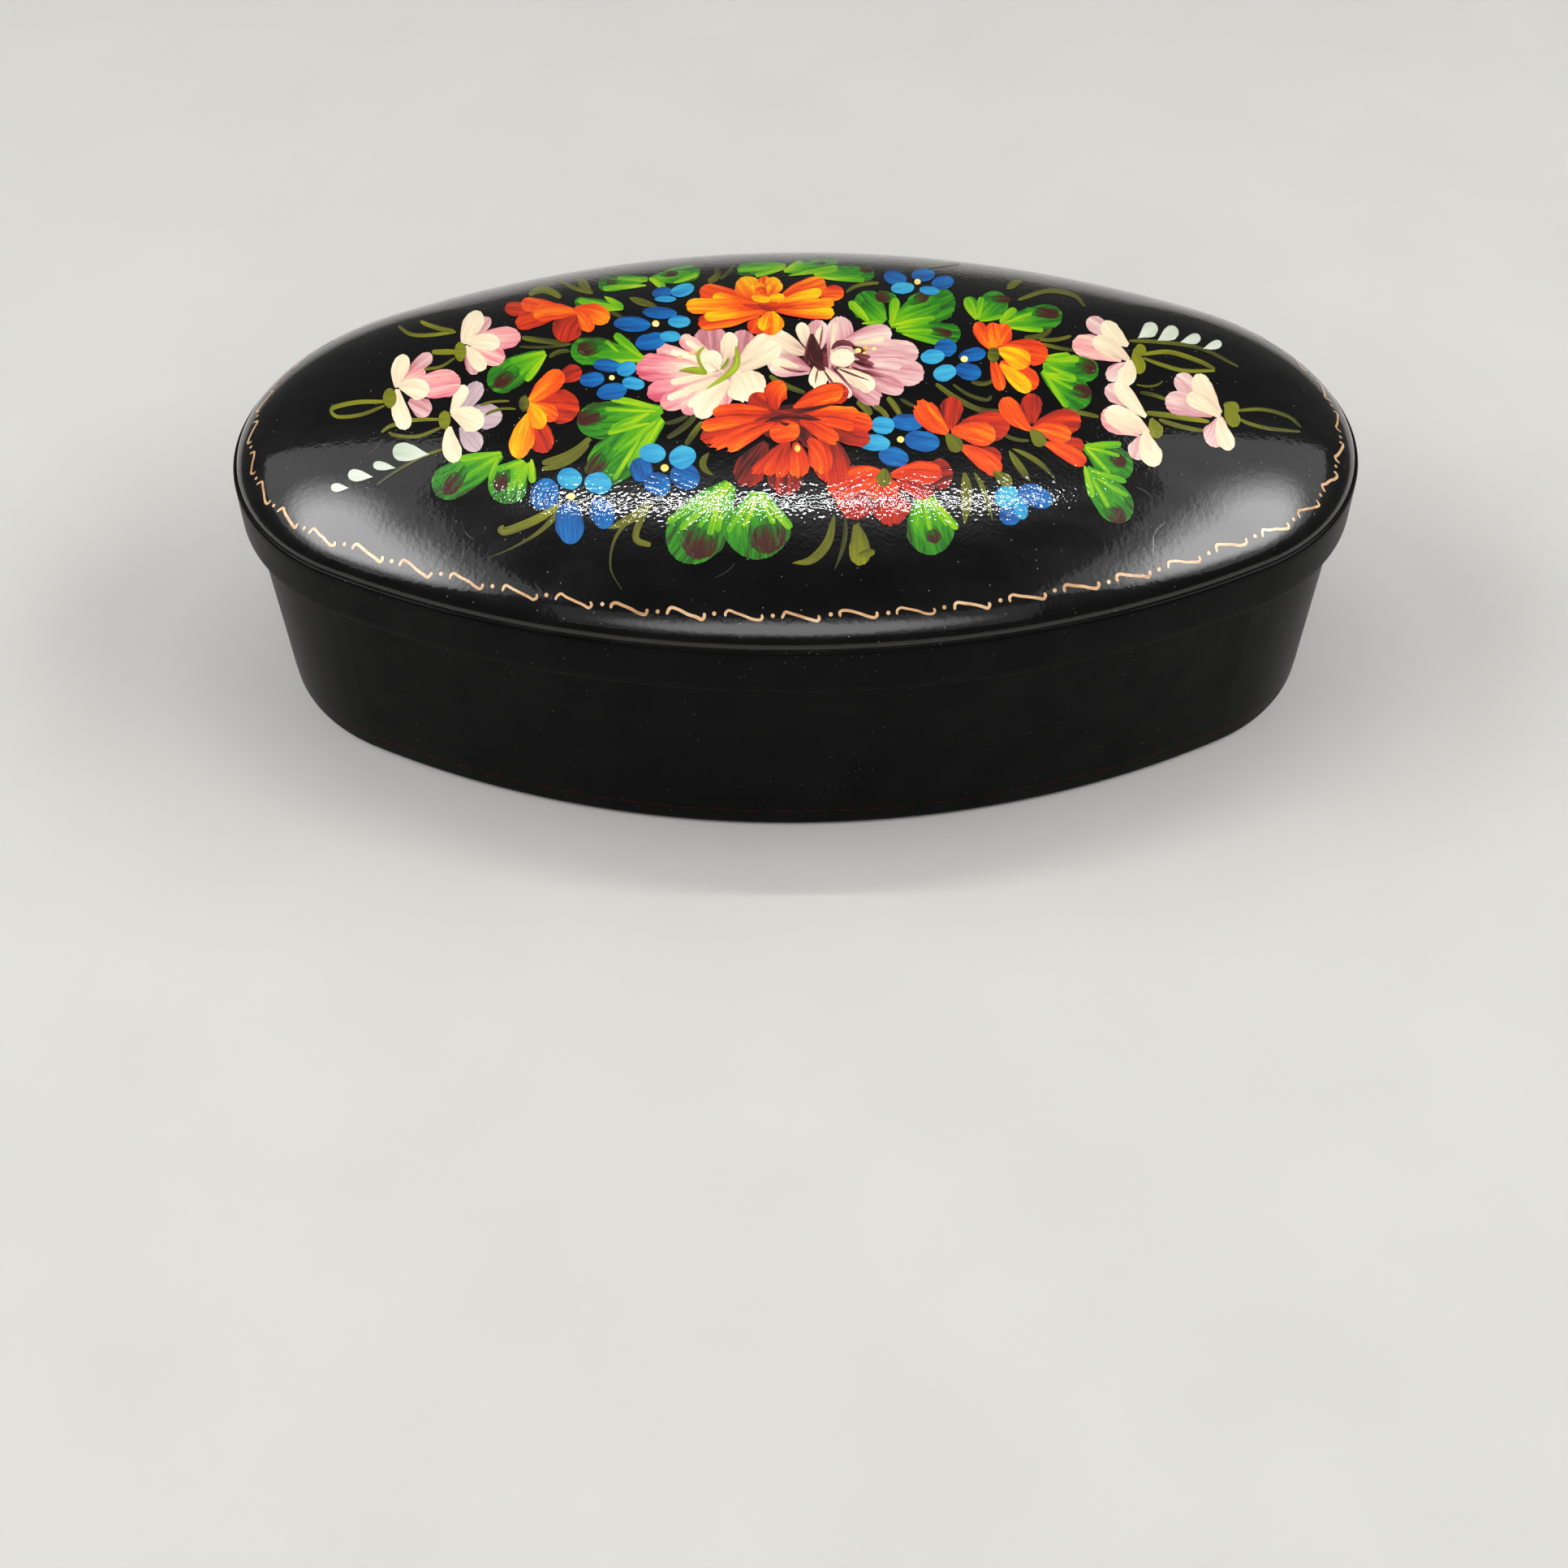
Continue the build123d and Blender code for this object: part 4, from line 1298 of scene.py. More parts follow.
paint("pale_bloom_right_dots", [
    oval(1057, 433, 8, 6, 0.5, 0.8), oval(1066, 430, 6, 5, 0.2, 0.5),
    oval(1077, 431, 6, 5, 0.8), oval(1065, 436, 4, 3, 0.7),
], cream_dot, 0.136)

# %% [markdown]
# ## The orange and red blooms
#
# Round the pale pair sit orange and red blooms, some open and some seen from the side. A dark
# red stroke goes down first as the far petal, then orange over it, then yellow where light falls.

# %% Paint the amber bloom
paint("amber_bloom", [
    oval(948, 374, 70, 26, RED, RED + 0.12),
    petal(1004, 362, 1040, 362, 19, RED + 0.1, RED + 0.18, tilt=0.05),
    petal(960, 370, 1018, 350, 24, RED + 0.06, ORANGE + 0.08, bend=-2, tilt=-0.1),
    petal(930, 372, 862, 358, 24, RED + 0.12, RED + 0.14, bend=-2, tilt=0.1),
    petal(944, 368, 942, 341, 22, RED + 0.1, ORANGE + 0.06),
    petal(936, 370, 913, 343, 32, RED + 0.14, AMBER + 0.06, bend=-2, tilt=0.1),
    petal(946, 366, 957, 343, 22, ORANGE, AMBER + 0.12),
    petal(942, 364, 934, 350, 11, ORANGE, AMBER + 0.14),
    petal(950, 366, 963, 350, 11, ORANGE, AMBER + 0.12),
    petal(932, 375, 878, 367, 16, ORANGE, AMBER + 0.14, bend=-1, tilt=-0.08),
    petal(942, 379, 845, 378, 20, ORANGE, AMBER + 0.02, tilt=0.14),
    petal(940, 386, 860, 400, 22, ORANGE - 0.06, RED + 0.06, tilt=-0.16),
    petal(944, 383, 868, 392, 13, ORANGE + 0.04, YELLOW),
    petal(936, 392, 927, 412, 22, ORANGE - 0.06, RED + 0.06),
    petal(948, 384, 951, 414, 36, ORANGE + 0.14, ORANGE + 0.06, tilt=-0.2),
    petal(946, 386, 938, 408, 15, ORANGE + 0.14, YELLOW + 0.03),
    petal(956, 384, 1028, 387, 17, ORANGE, YELLOW, tilt=-0.05),
    petal(958, 380, 1028, 374, 13, ORANGE, AMBER + 0.06, bend=-1, tilt=-0.08),
    petal(958, 374, 1013, 361, 13, ORANGE + 0.08, YELLOW, bend=-1),
    oval(938, 369, 25, 11, YELLOW - 0.04, YELLOW + 0.02, 8),
    oval(957, 368, 20, 11, YELLOW - 0.04, YELLOW, -6),
    blade([(914, 376), (948, 380), (984, 377)], 6, RED - 0.02, RED + 0.06),
    blade([(934, 375), (948, 382), (964, 378)], 6, RED - 0.1, RED - 0.04),
    blade([(928, 362), (938, 356), (946, 364)], 3, ORANGE - 0.08, RED),
    petal(930, 364, 926, 352, 7, AMBER, YELLOW), petal(946, 364, 948, 352, 6, AMBER, YELLOW),
], warm_oil, 0.115)

# %% Paint the orange bloom
paint("orange_bloom", [
    oval(974, 522, 84, 44, MAROON + 0.04, CRIMSON),
    petal(944, 546, 912, 599, 38, MAROON + 0.08, CRIMSON - 0.02, ragged=0.05),
    petal(968, 566, 968, 612, 46, CRIMSON - 0.08, CRIMSON, ragged=0.05),
    petal(1012, 536, 1027, 598, 46, CRIMSON, CRIMSON + 0.14, bend=-4, ragged=0.05),
    petal(1010, 528, 1072, 543, 24, CRIMSON, CRIMSON + 0.12),
    petal(956, 506, 925, 487, 26, CRIMSON + 0.06, RED - 0.06, bend=-3, tilt=0.06),
    petal(956, 506, 968, 474, 30, RED, ORANGE, bend=-7, tilt=0.06),
    petal(984, 500, 1046, 484, 28, CRIMSON + 0.14, RED - 0.05, bend=-3),
    petal(978, 504, 1039, 482, 24, RED + 0.08, ORANGE + 0.02, bend=-3, tilt=0.05),
    petal(950, 520, 863, 542, 22, CRIMSON, CRIMSON + 0.1, bend=2),
    petal(954, 510, 878, 510, 18, RED, ORANGE, bend=3, tilt=0.08),
    petal(952, 517, 864, 527, 17, RED, ORANGE + 0.02, bend=3, tilt=-0.1),
    petal(955, 523, 876, 551, 20, RED, ORANGE, bend=4, tilt=-0.1, ragged=0.06),
    petal(953, 525, 896, 556, 17, RED + 0.05, ORANGE, bend=3, tilt=-0.08, ragged=0.06),
    petal(996, 514, 1075, 527, 28, RED - 0.06, RED + 0.1, bend=-3, tilt=-0.12),
    petal(986, 511, 1058, 510, 15, RED + 0.05, ORANGE + 0.02, bend=-2, tilt=-0.08),
    petal(987, 518, 1052, 528, 13, RED, ORANGE - 0.08, bend=-2),
    petal(986, 519, 1033, 544, 20, RED, ORANGE - 0.03, ragged=0.08, tilt=-0.08),
    petal(984, 526, 1002, 554, 18, MAROON, MAROON + 0.1, ragged=0.15),
    petal(966, 546, 928, 585, 15, CRIMSON, RED + 0.08, ragged=0.08),
    petal(968, 546, 944, 588, 16, CRIMSON + 0.12, RED + 0.14, ragged=0.08),
    petal(972, 546, 960, 590, 18, RED - 0.06, ORANGE - 0.06, ragged=0.08),
    petal(996, 542, 1012, 585, 30, RED + 0.05, ORANGE - 0.02, bend=-6, tilt=-0.08, ragged=0.04),
    petal(980, 546, 983, 590, 28, RED, ORANGE - 0.02, bend=-2, tilt=0.06, ragged=0.06),
    blade([(928, 520), (962, 510), (990, 507), (1032, 498)], 8, CRIMSON, MAROON + 0.06),
    blade([(946, 506), (983, 513), (1012, 519)], 8, CRIMSON, MAROON + 0.04),
    blade([(940, 522), (966, 514), (996, 512)], 4, MAROON, CRIMSON),
    oval(967, 533, 38, 29, ORANGE - 0.1, ORANGE + 0.02, -10),
    blade([(960, 520), (968, 524), (973, 522)], 4, CRIMSON, MAROON),
], warm_oil, 0.112)
paint("orange_bloom_dot", [oval(982.5, 553.5, 7, 9, 0.3, 0.7)], cream_dot, 0.17)

# %% Paint the orange blooms seen from the side, on the left
paint("orange_side_bloom_a", [
    petal(712, 386, 694, 422, 38, CRIMSON + 0.06, CRIMSON + 0.14, bend=3),
    petal(662, 384, 622, 380, 18, RED, RED - 0.05),
    petal(694, 388, 636, 402, 21, RED - 0.05, RED, bend=3),
    petal(708, 386, 642, 374, 19, ORANGE, ORANGE - 0.03),
    petal(712, 386, 657, 389, 22, ORANGE - 0.02, ORANGE + 0.02, bend=3),
    petal(708, 382, 750, 397, 24, ORANGE, AMBER - 0.05, bend=-4),
    petal(712, 386, 726, 410, 20, ORANGE, ORANGE, bend=-3),
], warm_oil, 0.07)
paint("orange_side_bloom_b", [
    petal(684, 472, 717, 457, 22, CRIMSON, CRIMSON + 0.12, bend=-2),
    petal(656, 500, 714, 506, 42, RED - 0.06, RED - 0.04, bend=-2),
    petal(652, 508, 674, 558, 32, CRIMSON + 0.1, CRIMSON + 0.14),
    petal(651, 497, 694, 459, 26, ORANGE + 0.1, ORANGE, tilt=0.05),
    petal(653, 500, 686, 517, 22, AMBER - 0.05, ORANGE, bend=-2),
    petal(651, 512, 648, 556, 20, ORANGE, AMBER),
    petal(652, 498, 669, 528, 24, YELLOW - 0.12, YELLOW - 0.04),
    petal(652, 511, 639, 566, 26, AMBER + 0.05, YELLOW - 0.03, bend=3, tilt=0.05),
], warm_oil, 0.07)

# %% Paint the orange blooms seen from the side, on the right
paint("orange_side_bloom_c", [
    petal(1222, 440, 1234, 482, 16, ORANGE - 0.1, ORANGE),
    petal(1225, 432, 1204, 397, 18, ORANGE, RED + 0.1, bend=-3),
    petal(1228, 430, 1244, 402, 26, ORANGE + 0.08, ORANGE - 0.06, bend=-3),
    petal(1226, 430, 1222, 398, 22, AMBER, ORANGE),
    petal(1228, 432, 1291, 440, 32, RED + 0.12, RED + 0.08, bend=-3),
    petal(1232, 448, 1276, 480, 30, ORANGE, ORANGE - 0.06, bend=-3),
    petal(1230, 432, 1268, 451, 27, AMBER + 0.12, YELLOW - 0.1, bend=-2),
    petal(1233, 450, 1269, 483, 20, AMBER + 0.1, AMBER + 0.12),
], warm_oil, 0.07)
paint("orange_side_bloom_d", [
    petal(1170, 530, 1174, 489, 28, CRIMSON + 0.08, CRIMSON + 0.1),
    petal(1176, 532, 1244, 528, 38, CRIMSON + 0.1, CRIMSON + 0.14, bend=-4),
    petal(1200, 556, 1234, 566, 22, CRIMSON + 0.1, CRIMSON + 0.1),
    petal(1168, 534, 1132, 494, 30, ORANGE, ORANGE - 0.02, bend=-4, ragged=0.08),
    petal(1172, 532, 1226, 542, 30, ORANGE - 0.02, ORANGE, bend=-4),
    petal(1182, 550, 1232, 584, 24, ORANGE, ORANGE - 0.06, bend=-3),
], warm_oil, 0.07)
paint("orange_side_bloom_e", [
    petal(1272, 522, 1270, 485, 28, CRIMSON + 0.06, CRIMSON + 0.12),
    petal(1272, 530, 1332, 522, 32, RED - 0.08, RED - 0.06, bend=-5),
    petal(1292, 546, 1336, 552, 22, CRIMSON + 0.06, CRIMSON + 0.1),
    petal(1270, 530, 1236, 490, 25, ORANGE, ORANGE - 0.04, bend=-4),
    petal(1272, 530, 1319, 541, 24, ORANGE - 0.02, ORANGE, bend=-4),
    petal(1286, 546, 1337, 572, 20, ORANGE, ORANGE - 0.05, bend=-2),
], warm_oil, 0.07)

# %% Paint the red bloom and the cups
paint("red_side_bloom", [
    petal(1140, 588, 1174, 582, 42, CRIMSON - 0.04, CRIMSON + 0.02),
    petal(1060, 600, 1046, 640, 50, RED - 0.1, RED - 0.14, ragged=0.08),
    petal(1098, 600, 1096, 648, 56, CRIMSON + 0.06, CRIMSON + 0.1, ragged=0.08),
    petal(1104, 592, 1150, 608, 26, CRIMSON + 0.1, CRIMSON + 0.12),
    petal(1094, 588, 1022, 610, 38, ORANGE - 0.06, RED + 0.04, bend=8),
    petal(1088, 590, 1070, 612, 34, ORANGE - 0.08, RED + 0.1),
    petal(1098, 586, 1160, 585, 28, RED + 0.12, RED + 0.06, bend=-3),
    petal(1094, 590, 1098, 612, 26, RED + 0.1, RED),
], warm_oil, 0.07)
paint("cups_of_the_side_blooms", [
    oval(646, 498, 13, 20, DIM + 0.1, OLIVE),
    oval(1224, 438, 15, 19, OLIVE, DIM + 0.2),
    petal(1166, 536, 1184, 556, 20, OLIVE + 0.1, OLIVE),
    petal(1270, 530, 1286, 550, 18, OLIVE + 0.1, OLIVE),
    petal(1090, 578, 1088, 600, 20, OLIVE, OLIVE + 0.1),
    petal(1224, 582, 1246, 598, 16, OLIVE, OLIVE + 0.1),
    line([(628, 495), (608, 496), (592, 500)], 3.5, OLIVE),
    line([(636, 505), (616, 505), (598, 512)], 3.5, OLIVE),
], olive_oil, 0.1)

# %% [markdown]
# ## Bellflowers
#
# At both ends hang pale bellflowers on looped stems. Each has three or four mauve, pink or smoky
# petals behind, three cream ones in front, and an olive cup.

# %% Layer a bellflower
def bellflower(place, back, pink, front, oil=mauve_oil, pink_lift=0.065, front_lift=0.068):
    """The far petals of a bellflower, its pink ones if it has any, and its cream ones in front."""
    paint(f"bellflower_{place}_back", back, oil, 0.06)
    if pink:
        paint(f"bellflower_{place}_pink", pink, pink_oil, pink_lift)
    paint(f"bellflower_{place}_front", front, cream_oil, front_lift)


print("far petals take", mauve_oil.name)

# %% Paint the bellflowers on the left
smoky_oil = pigment("smoky_lilac_oil", [
    (0.0, "#5C474E"), (0.5, "#A08790"), (0.75, "#B9A2A6"), (1.0, "#CDBDBC")], streak=0.17)
paint("bellflower_stems_left", [
    line([(562, 409), (530, 413), (506, 412), (491, 402)], 5, MOSS, OLIVE),
    line([(560, 408), (538, 404), (518, 396)], 6, OLIVE, MOSS),
    line([(566, 434), (548, 434), (532, 434)], 7, MOSS),
    line([(561, 441), (540, 453), (508, 454), (489, 446)], 4, OLIVE),
    line([(476, 495), (440, 496), (412, 502), (408, 509)], 6, MOSS, OLIVE),
    line([(474, 500), (446, 511), (418, 514), (407, 508)], 5, OLIVE, MOSS),
    line([(543, 517), (510, 518), (482, 525), (470, 533)], 5, MOSS, OLIVE),
    line([(544, 527), (515, 538), (488, 537), (479, 533)], 5, OLIVE),
    line([(548, 553), (520, 563), (488, 581), (464, 598)], 4, OLIVE, DIM),
], olive_oil, 0.03)
bellflower("left_a", [
    petal(578, 420, 604, 392, 15, MAUVE + 0.1, LILAC),
    petal(576, 430, 586, 462, 18, LILAC - 0.1, LILAC)
], [
    petal(580, 420, 642, 415, 27, BLUSH, PINK + 0.06, tilt=-0.06),
    petal(580, 428, 622, 444, 27, BLUSH, PINK + 0.1, tilt=0.06)
], [
    petal(571, 424, 594, 386, 24, IVORY, CREAM, bend=-3),
    petal(573, 422, 616, 425, 21, IVORY, CREAM - 0.04, bend=-2, tilt=-0.06),
    petal(574, 427, 597, 457, 19, IVORY, CREAM - 0.06, tilt=0.06)
], pink_lift=0.066, front_lift=0.072)
bellflower("left_b", [
    petal(500, 462, 532, 437, 17, MAUVE + 0.1, LILAC),
    petal(504, 494, 531, 509, 25, LILAC - 0.1, LILAC, tilt=0.05)
], [
    petal(496, 472, 524, 456, 15, BLUSH, PINK + 0.08),
    petal(500, 480, 568, 470, 35, BLUSH, PINK + 0.02, tilt=-0.06)
], [
    petal(489, 478, 501, 438, 21, IVORY, CREAM - 0.04, bend=-3),
    petal(492, 477, 528, 486, 27, IVORY, CREAM - 0.04, bend=-3, tilt=-0.06),
    petal(490, 480, 503, 529, 22, IVORY, CREAM, bend=4)
], pink_lift=0.066, front_lift=0.072)
bellflower("left_c", [
    petal(562, 512, 593, 472, 22, MAUVE + 0.08, LILAC - 0.06),
    petal(566, 512, 619, 514, 31, MAUVE + 0.1, LILAC - 0.04, tilt=0.06),
    petal(568, 526, 591, 555, 27, MAUVE + 0.08, LILAC - 0.02)
], [], [
    petal(556, 510, 574, 475, 16, IVORY, CREAM),
    petal(556, 509, 594, 527, 31, IVORY, CREAM - 0.04, bend=-3, tilt=-0.05),
    petal(554, 526, 563, 570, 23, IVORY, CREAM - 0.06, bend=3)
], smoky_oil)
paint("bellflower_cups_left", [
    oval(567.5, 434, 15, 24, MOSS - 0.1, MOSS), oval(480.5, 491, 17, 24, MOSS - 0.1, MOSS),
    oval(548, 518, 15, 23, MOSS - 0.1, MOSS),
], olive_oil, 0.09)
paint("bud_drops_left", [
    drop(529, 560, 484, 556, 23, 0.9, 0.5), drop(488, 577, 460, 573, 11, 0.9, 0.8),
    drop(460, 588, 429, 585, 15, 1.0, 0.8), drop(430, 601.5, 408, 601, 11, 1.0, 0.9),
], white_oil, 0.05)

# %% Paint the bellflowers on the right
paint("bellflower_stems_right", [
    line([(1391, 420), (1432, 422), (1480, 430), (1526, 452)], 5, OLIVE, DIM),
    line([(1406, 437), (1440, 434), (1474, 444), (1497, 455)], 6, MOSS, OLIVE),
    line([(1408, 441), (1432, 450), (1460, 457), (1497, 457)], 5, OLIVE, MOSS),
    line([(1400, 474), (1420, 476), (1433, 469)], 3, DIM),
    line([(1404, 484), (1422, 487), (1437, 493)], 5, DIM, OLIVE),
    line([(1412, 509), (1445, 513), (1490, 520)], 7, OLIVE, MOSS),
    line([(1428, 517), (1455, 526), (1484, 531)], 6, OLIVE),
    line([(1524, 506), (1556, 505), (1586, 513), (1603, 527)], 5, OLIVE, DIM),
    line([(1526, 516), (1556, 527), (1602, 532)], 5, OLIVE, DIM),
], olive_oil, 0.03)
bellflower("right_a", [
    petal(1372, 414, 1339, 394, 21, LILAC, LILAC + 0.06),
    petal(1388, 448, 1364, 468, 21, LILAC, LILAC + 0.08)
], [
    petal(1382, 444, 1321, 423, 29, BLUSH, PINK + 0.16, bend=3, tilt=0.06)
], [
    petal(1390, 426, 1360, 396, 22, IVORY, CREAM - 0.06, bend=-3),
    petal(1391, 444, 1346, 419, 21, BONE, IVORY + 0.06, bend=2),
    petal(1391, 444, 1380, 474, 24, IVORY, CREAM - 0.06, bend=-4)
])
bellflower("right_b", [
    petal(1398, 500, 1362, 477, 24, LILAC, LILAC + 0.06),
    petal(1408, 537, 1399, 567, 27, LILAC, LILAC + 0.02)
], [
    petal(1404, 536, 1356, 513, 33, BLUSH, PINK + 0.08, bend=4)
], [
    petal(1412, 514, 1376, 469, 20, IVORY, CREAM - 0.06, bend=-3),
    petal(1415, 534, 1361, 508, 28, BONE + 0.1, IVORY + 0.1, bend=2, tilt=0.06),
    petal(1412, 532, 1428, 573, 27, IVORY, CREAM - 0.04, bend=5)
])
bellflower("right_c", [
    petal(1486, 492, 1448, 464, 25, LILAC, LILAC + 0.08),
    petal(1494, 512, 1435, 494, 30, LILAC - 0.08, LILAC + 0.04, bend=3, tilt=0.06),
    petal(1503, 514, 1489, 549, 32, LILAC - 0.04, LILAC + 0.04, bend=-3)
], [], [
    petal(1504, 510, 1475, 461, 25, BONE + 0.1, CREAM - 0.1, bend=-4, tilt=0.05),
    petal(1503, 514, 1462, 488, 20, BONE + 0.1, IVORY + 0.04, bend=2),
    petal(1503, 514, 1518, 554, 21, IVORY, CREAM - 0.06, bend=4)
])
paint("bellflower_cups_right", [
    petal(1396, 434, 1412, 430, 16, MOSS - 0.1, MOSS),
    petal(1397, 434, 1406, 461, 18, MOSS - 0.1, MOSS - 0.05),
    petal(1418, 516, 1428, 540, 18, MOSS - 0.1, MOSS),
    petal(1508, 498, 1526, 508, 18, MOSS - 0.1, MOSS),
    petal(1510, 500, 1524, 526, 18, MOSS - 0.1, MOSS),
], olive_oil, 0.05)
paint("bud_drops_right", [
    drop(1402, 417, 1425, 401, 19, 0.9, 0.6), drop(1426, 420, 1451, 406, 18, 0.9, 0.7),
    drop(1454, 422, 1479, 416, 13, 0.9, 0.7), drop(1482, 430, 1505, 423, 11, 0.9, 0.8),
], white_oil, 0.05)
painted = [o for o in bpy.data.objects if o.type == "MESH" and "brush" in o.data.uv_layers]
print("the bouquet:", len(painted), "pieces,", sum(len(o.data.polygons) for o in painted), "faces")

# %% [markdown]
# ## Rub marks
#
# Real name: hairline scratches from handling. A few grey hairs of them lie in the gloss at each
# end of the lid, and they catch the light where the dome mirrors the softboxes.

# %% Draw the rub marks
rub_grey = pigment("rubbed_lacquer_grey", [
    (0.0, "#2C2C2B"), (0.6, "#565652"), (1.0, "#84847E")], streak=0.3)
paint("rub_marks", [
    line([(1437, 643), (1423, 656), (1421, 676), (1421, 701)], 1.3, 0.5, 0.3),
    line([(1398, 600), (1412, 606), (1420, 616)], 0.9, 0.1),
    line([(573, 654), (577, 660), (583, 664)], 1.0, 0.2, 0.1),
    line([(573, 671), (571, 680), (569, 692)], 1.0, 0.2, 0.1),
    line([(452, 560), (463, 553), (470, 542)], 0.9, 0.0, 0.1),
    line([(880, 712), (896, 704), (905, 694)], 0.9, 0.0, 0.1),
], rub_grey, 0.018)

# %% [markdown]
# ## The gold border
#
# Round the steep flank of the dome runs a border in gold: a lying S with hooked ends, a dot,
# and again. It is drawn freehand with a hair-thin brush, so each S differs a little.

# %% Measure the border
BORDER_INSET = 2.85
BORDER_REPEATS = 52
BORDER_START = -0.13
BORDER_LINE = 0.4
BORDER_LIFT = 0.03
DOT_SIZE = 0.52
S_ROWS = 36
DOT_ROWS = 8
# One S, in shares of a repeat along the rim and millimetres across it.
HOOKED_S = [
    (0.17, 0.35), (0.185, -0.2), (0.24, -0.5), (0.36, -0.28), (0.52, 0.08),
    (0.66, 0.42), (0.77, 0.6), (0.82, 0.3), (0.80, -0.12)]
S_WOBBLE = [0.014, 0.07]
HAND_DRIFT = 0.12
LOAD_CHANGE = 0.15
END_SWELL, MIDDLE_LOSS = 1.25, 0.4  # an S is broader at its ends than in its middle
WIDTH_CHANGE = (0.85, 1.15)
BRUSH_STEP = 3.7

rim_length = 2 * (END_RADIUS * 2 * END_ANGLE + SIDE_RADIUS * (pi - 2 * END_ANGLE))
pitch = rim_length / BORDER_REPEATS
print("gold border:", BORDER_REPEATS, "repeats of", round(pitch, 2), "mm")


# %% Find places on the flank
def on_flank(shares_round, across, lift):
    """Points on the flank at shares of the way round, across being millimetres to the rim."""
    places = (np.asarray(shares_round) % 1.0) * RIM_STEPS
    before = places.astype(int) % RIM_STEPS
    after = (before + 1) % RIM_STEPS
    rest = (places - places.astype(int))[:, None]

    def flat_points(insets):
        ends = [
            rim_centres[k] + rim_directions[k] * (rim_radii[k] - insets)[:, None]
            for k in (before, after)]
        return ends[0] * (1 - rest) + ends[1] * rest

    middle = flat_points(np.full(len(places), BORDER_INSET))
    level_share = dome_normal(middle[:, 0], middle[:, 1])[:, 2]
    flat = flat_points(BORDER_INSET - across * level_share)
    points = np.column_stack([flat, dome_height(flat[:, 0], flat[:, 1])])
    return points + dome_normal(points[:, 0], points[:, 1]) * lift


start_of_border = on_flank([BORDER_START / BORDER_REPEATS], np.zeros(1), BORDER_LIFT)[0]
print("the border starts at", [round(float(v), 1) for v in start_of_border], "mm")

# %% Draw the gold border
across_line = np.array([-1.0, 0.0, 1.0])
points, faces, tones, brushes = [], [], [], []
start = 0
for repeat in range(BORDER_REPEATS):
    wobble = chance.uniform(-1, 1, (len(HOOKED_S), 2)) * S_WOBBLE
    hooked = (np.array(HOOKED_S) + wobble) * [pitch, 1.0]
    dot = np.array([[-DOT_SIZE / 2, 0.0], [DOT_SIZE / 2, 0.0]])
    dot = dot + chance.uniform(-HAND_DRIFT, HAND_DRIFT, 2)
    drift = chance.uniform(-HAND_DRIFT, HAND_DRIFT)
    for outline, rows, kind, width in (
            (hooked, S_ROWS, "stem", BORDER_LINE), (dot, DOT_ROWS, "oval", DOT_SIZE)):
        u = (1 - np.cos(np.linspace(0, pi, rows))) / 2 if kind == "oval" else np.linspace(0, 1, rows)
        spine, side = through(outline, u)
        widths = width_shares(kind, u) * width / 2
        if kind == "stem":
            widths = widths * (END_SWELL - MIDDLE_LOSS * np.sin(pi * u))
            widths = widths * chance.uniform(*WIDTH_CHANGE)
        grid = spine[:, None, :] + side[:, None, :] * (widths[:, None] * across_line)[:, :, None]
        grid = grid.reshape(-1, 2)
        shares_round = (BORDER_START + repeat + grid[:, 0] / pitch) / BORDER_REPEATS
        points.append(on_flank(shares_round, grid[:, 1] + drift, BORDER_LIFT))
        tones.append(np.full(len(grid), 0.5) + chance.uniform(-LOAD_CHANGE, LOAD_CHANGE))
        brushes.append(grid + repeat * BRUSH_STEP)
        faces += quads(rows, len(across_line), start)
        start += len(grid)
finish_paint("gold_border", np.concatenate(points), faces, tones, brushes, gold_line)

# %% [markdown]
# ## The floor and the light
#
# A plain pale floor and large soft lights, as in a product studio. Black lacquer shows only what
# it mirrors, so the lights matter as much as the material: a softbox stands on each side, low
# enough to draw a soft bright patch on each end of the dome, a weak one lights the front, and a
# narrow strip overhead draws the glints along the front of the bouquet. The rest stays dim.

# %% Lay the floor
FLOOR_HALF = 3.0
FIBRE_MM = 25.0

floor_mesh = bpy.data.meshes.new("floor")
floor_mesh.from_pydata(
    [(x * FLOOR_HALF, y * FLOOR_HALF, 0) for x, y in ((-1, -1), (1, -1), (1, 1), (-1, 1))],
    [], [(0, 1, 2, 3)])
floor = bpy.data.objects.new("floor", floor_mesh)
bpy.context.scene.collection.objects.link(floor)
floor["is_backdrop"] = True
paper, tree = new_material("pale_paper_floor")
place = node(tree, "ShaderNodeTexCoord").outputs["Object"]
fibres = node(tree, "ShaderNodeTexNoise", {
    "Vector": place, "Scale": per_metre(FIBRE_MM), "Detail": 5.0})
tints = node(tree, "ShaderNodeValToRGB", {"Fac": fibres.outputs["Fac"]})
set_ramp(tints, [(0.3, "#B8B6B2"), (0.7, "#BBB9B5")])
matt = node(tree, "ShaderNodeBsdfPrincipled", {
    "Base Color": tints.outputs["Color"], "Roughness": 0.8})
node(tree, "ShaderNodeOutputMaterial", {"Surface": matt.outputs[0]})
floor_mesh.materials.append(paper)
print("floor of", 2 * FLOOR_HALF, "m")

# %% Build a softbox
# How far from its middle a softbox starts to fade and has faded, and how bright it is there.
FADE_FROM, FADE_TO = 0.2, 0.46
MIDDLE_GLOW, EDGE_GLOW = 4.6, 0.5


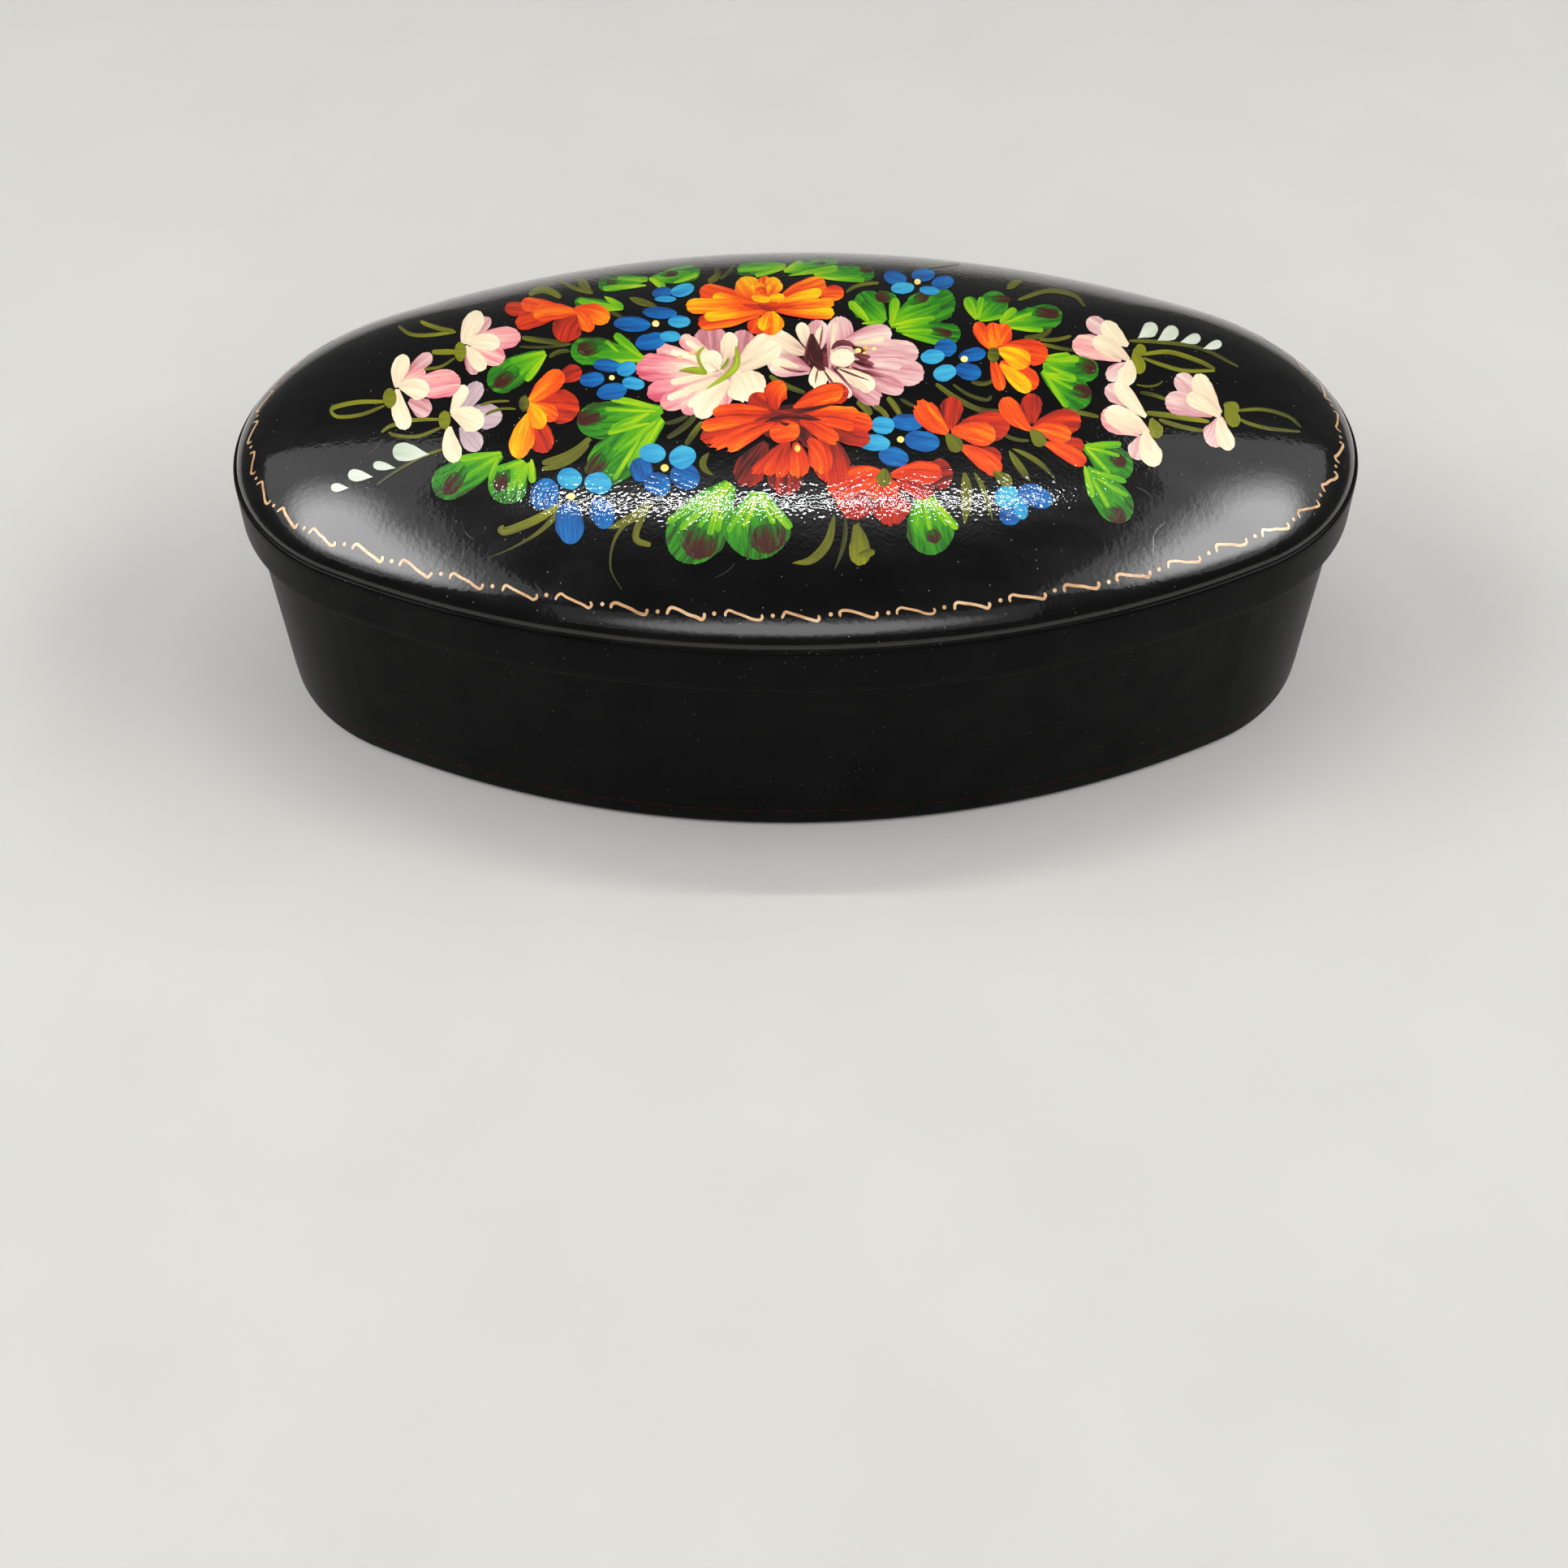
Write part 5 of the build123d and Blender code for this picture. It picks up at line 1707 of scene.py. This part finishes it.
def softbox(name, place, aim, size, watts, bright=None):
    """An area light at a place, turned to a point, in metres.

    bright is the place of its bright part along its width, from 0 to 1.
    """
    data = bpy.data.lights.new(name, "AREA")
    data.shape = "RECTANGLE"
    data.size, data.size_y = size
    data.energy = watts
    if bright is not None:
        data.use_nodes = True
        tree = data.node_tree
        tree.nodes.clear()
        spot = node(tree, "ShaderNodeNewGeometry").outputs["Parametric"]
        centred = node(tree, "ShaderNodeVectorMath", {
            0: spot, 1: (bright, 0.5, 0.0)}, operation="SUBTRACT")
        far = node(tree, "ShaderNodeVectorMath", {0: centred.outputs[0]}, operation="LENGTH")
        fade = node(tree, "ShaderNodeMapRange", {
            "Value": far.outputs["Value"], "From Min": FADE_FROM, "From Max": FADE_TO,
            "To Min": MIDDLE_GLOW, "To Max": EDGE_GLOW}, interpolation_type="SMOOTHSTEP")
        glow = node(tree, "ShaderNodeEmission", {"Strength": fade.outputs[0]})
        node(tree, "ShaderNodeOutputLight", {"Surface": glow.outputs[0]})
    made = bpy.data.objects.new(name, data)
    bpy.context.scene.collection.objects.link(made)
    made.location = place
    made.rotation_euler = (Vector(aim) - Vector(place)).to_track_quat("-Z", "Y").to_euler()
    print(name, watts, "W")


# %% Place the lights
DIM_ROOM = 0.08
softbox("softbox_left", (-0.545, 0.02, 0.535), (0, 0, 0.03), (1.03, 0.48), 2.7, 0.6)
softbox("softbox_right", (0.545, 0.02, 0.535), (0, 0, 0.03), (1.03, 0.48), 2.7, 0.4)
softbox("softbox_front", (0.0, -0.70, 0.48), (0, 0, 0.02), (0.9, 0.4), 0.8, 0.5)
softbox("strip_overhead", (0.0, 0.13, 0.66), (0, 0, 0.04), (0.46, 0.008), 1.3)
world = bpy.data.worlds.new("studio")
bpy.context.scene.world = world
world.use_nodes = True
world.node_tree.nodes.clear()
dim = node(world.node_tree, "ShaderNodeBackground", {
    "Color": (1.0, 1.0, 1.0, 1.0), "Strength": DIM_ROOM})
node(world.node_tree, "ShaderNodeOutputWorld", {"Surface": dim.outputs[0]})
bpy.context.scene.view_settings.view_transform = "Standard"
print("the room glows at", DIM_ROOM)

# %% Print the sizes
visual_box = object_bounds()
sizes = {"cad": [list(v) for v in cad_box], "visual": [list(v) for v in visual_box]}
for name, corners in sizes.items():
    print(name, "box", [[round(v / MM, 2) for v in corner_point] for corner_point in corners], "mm")
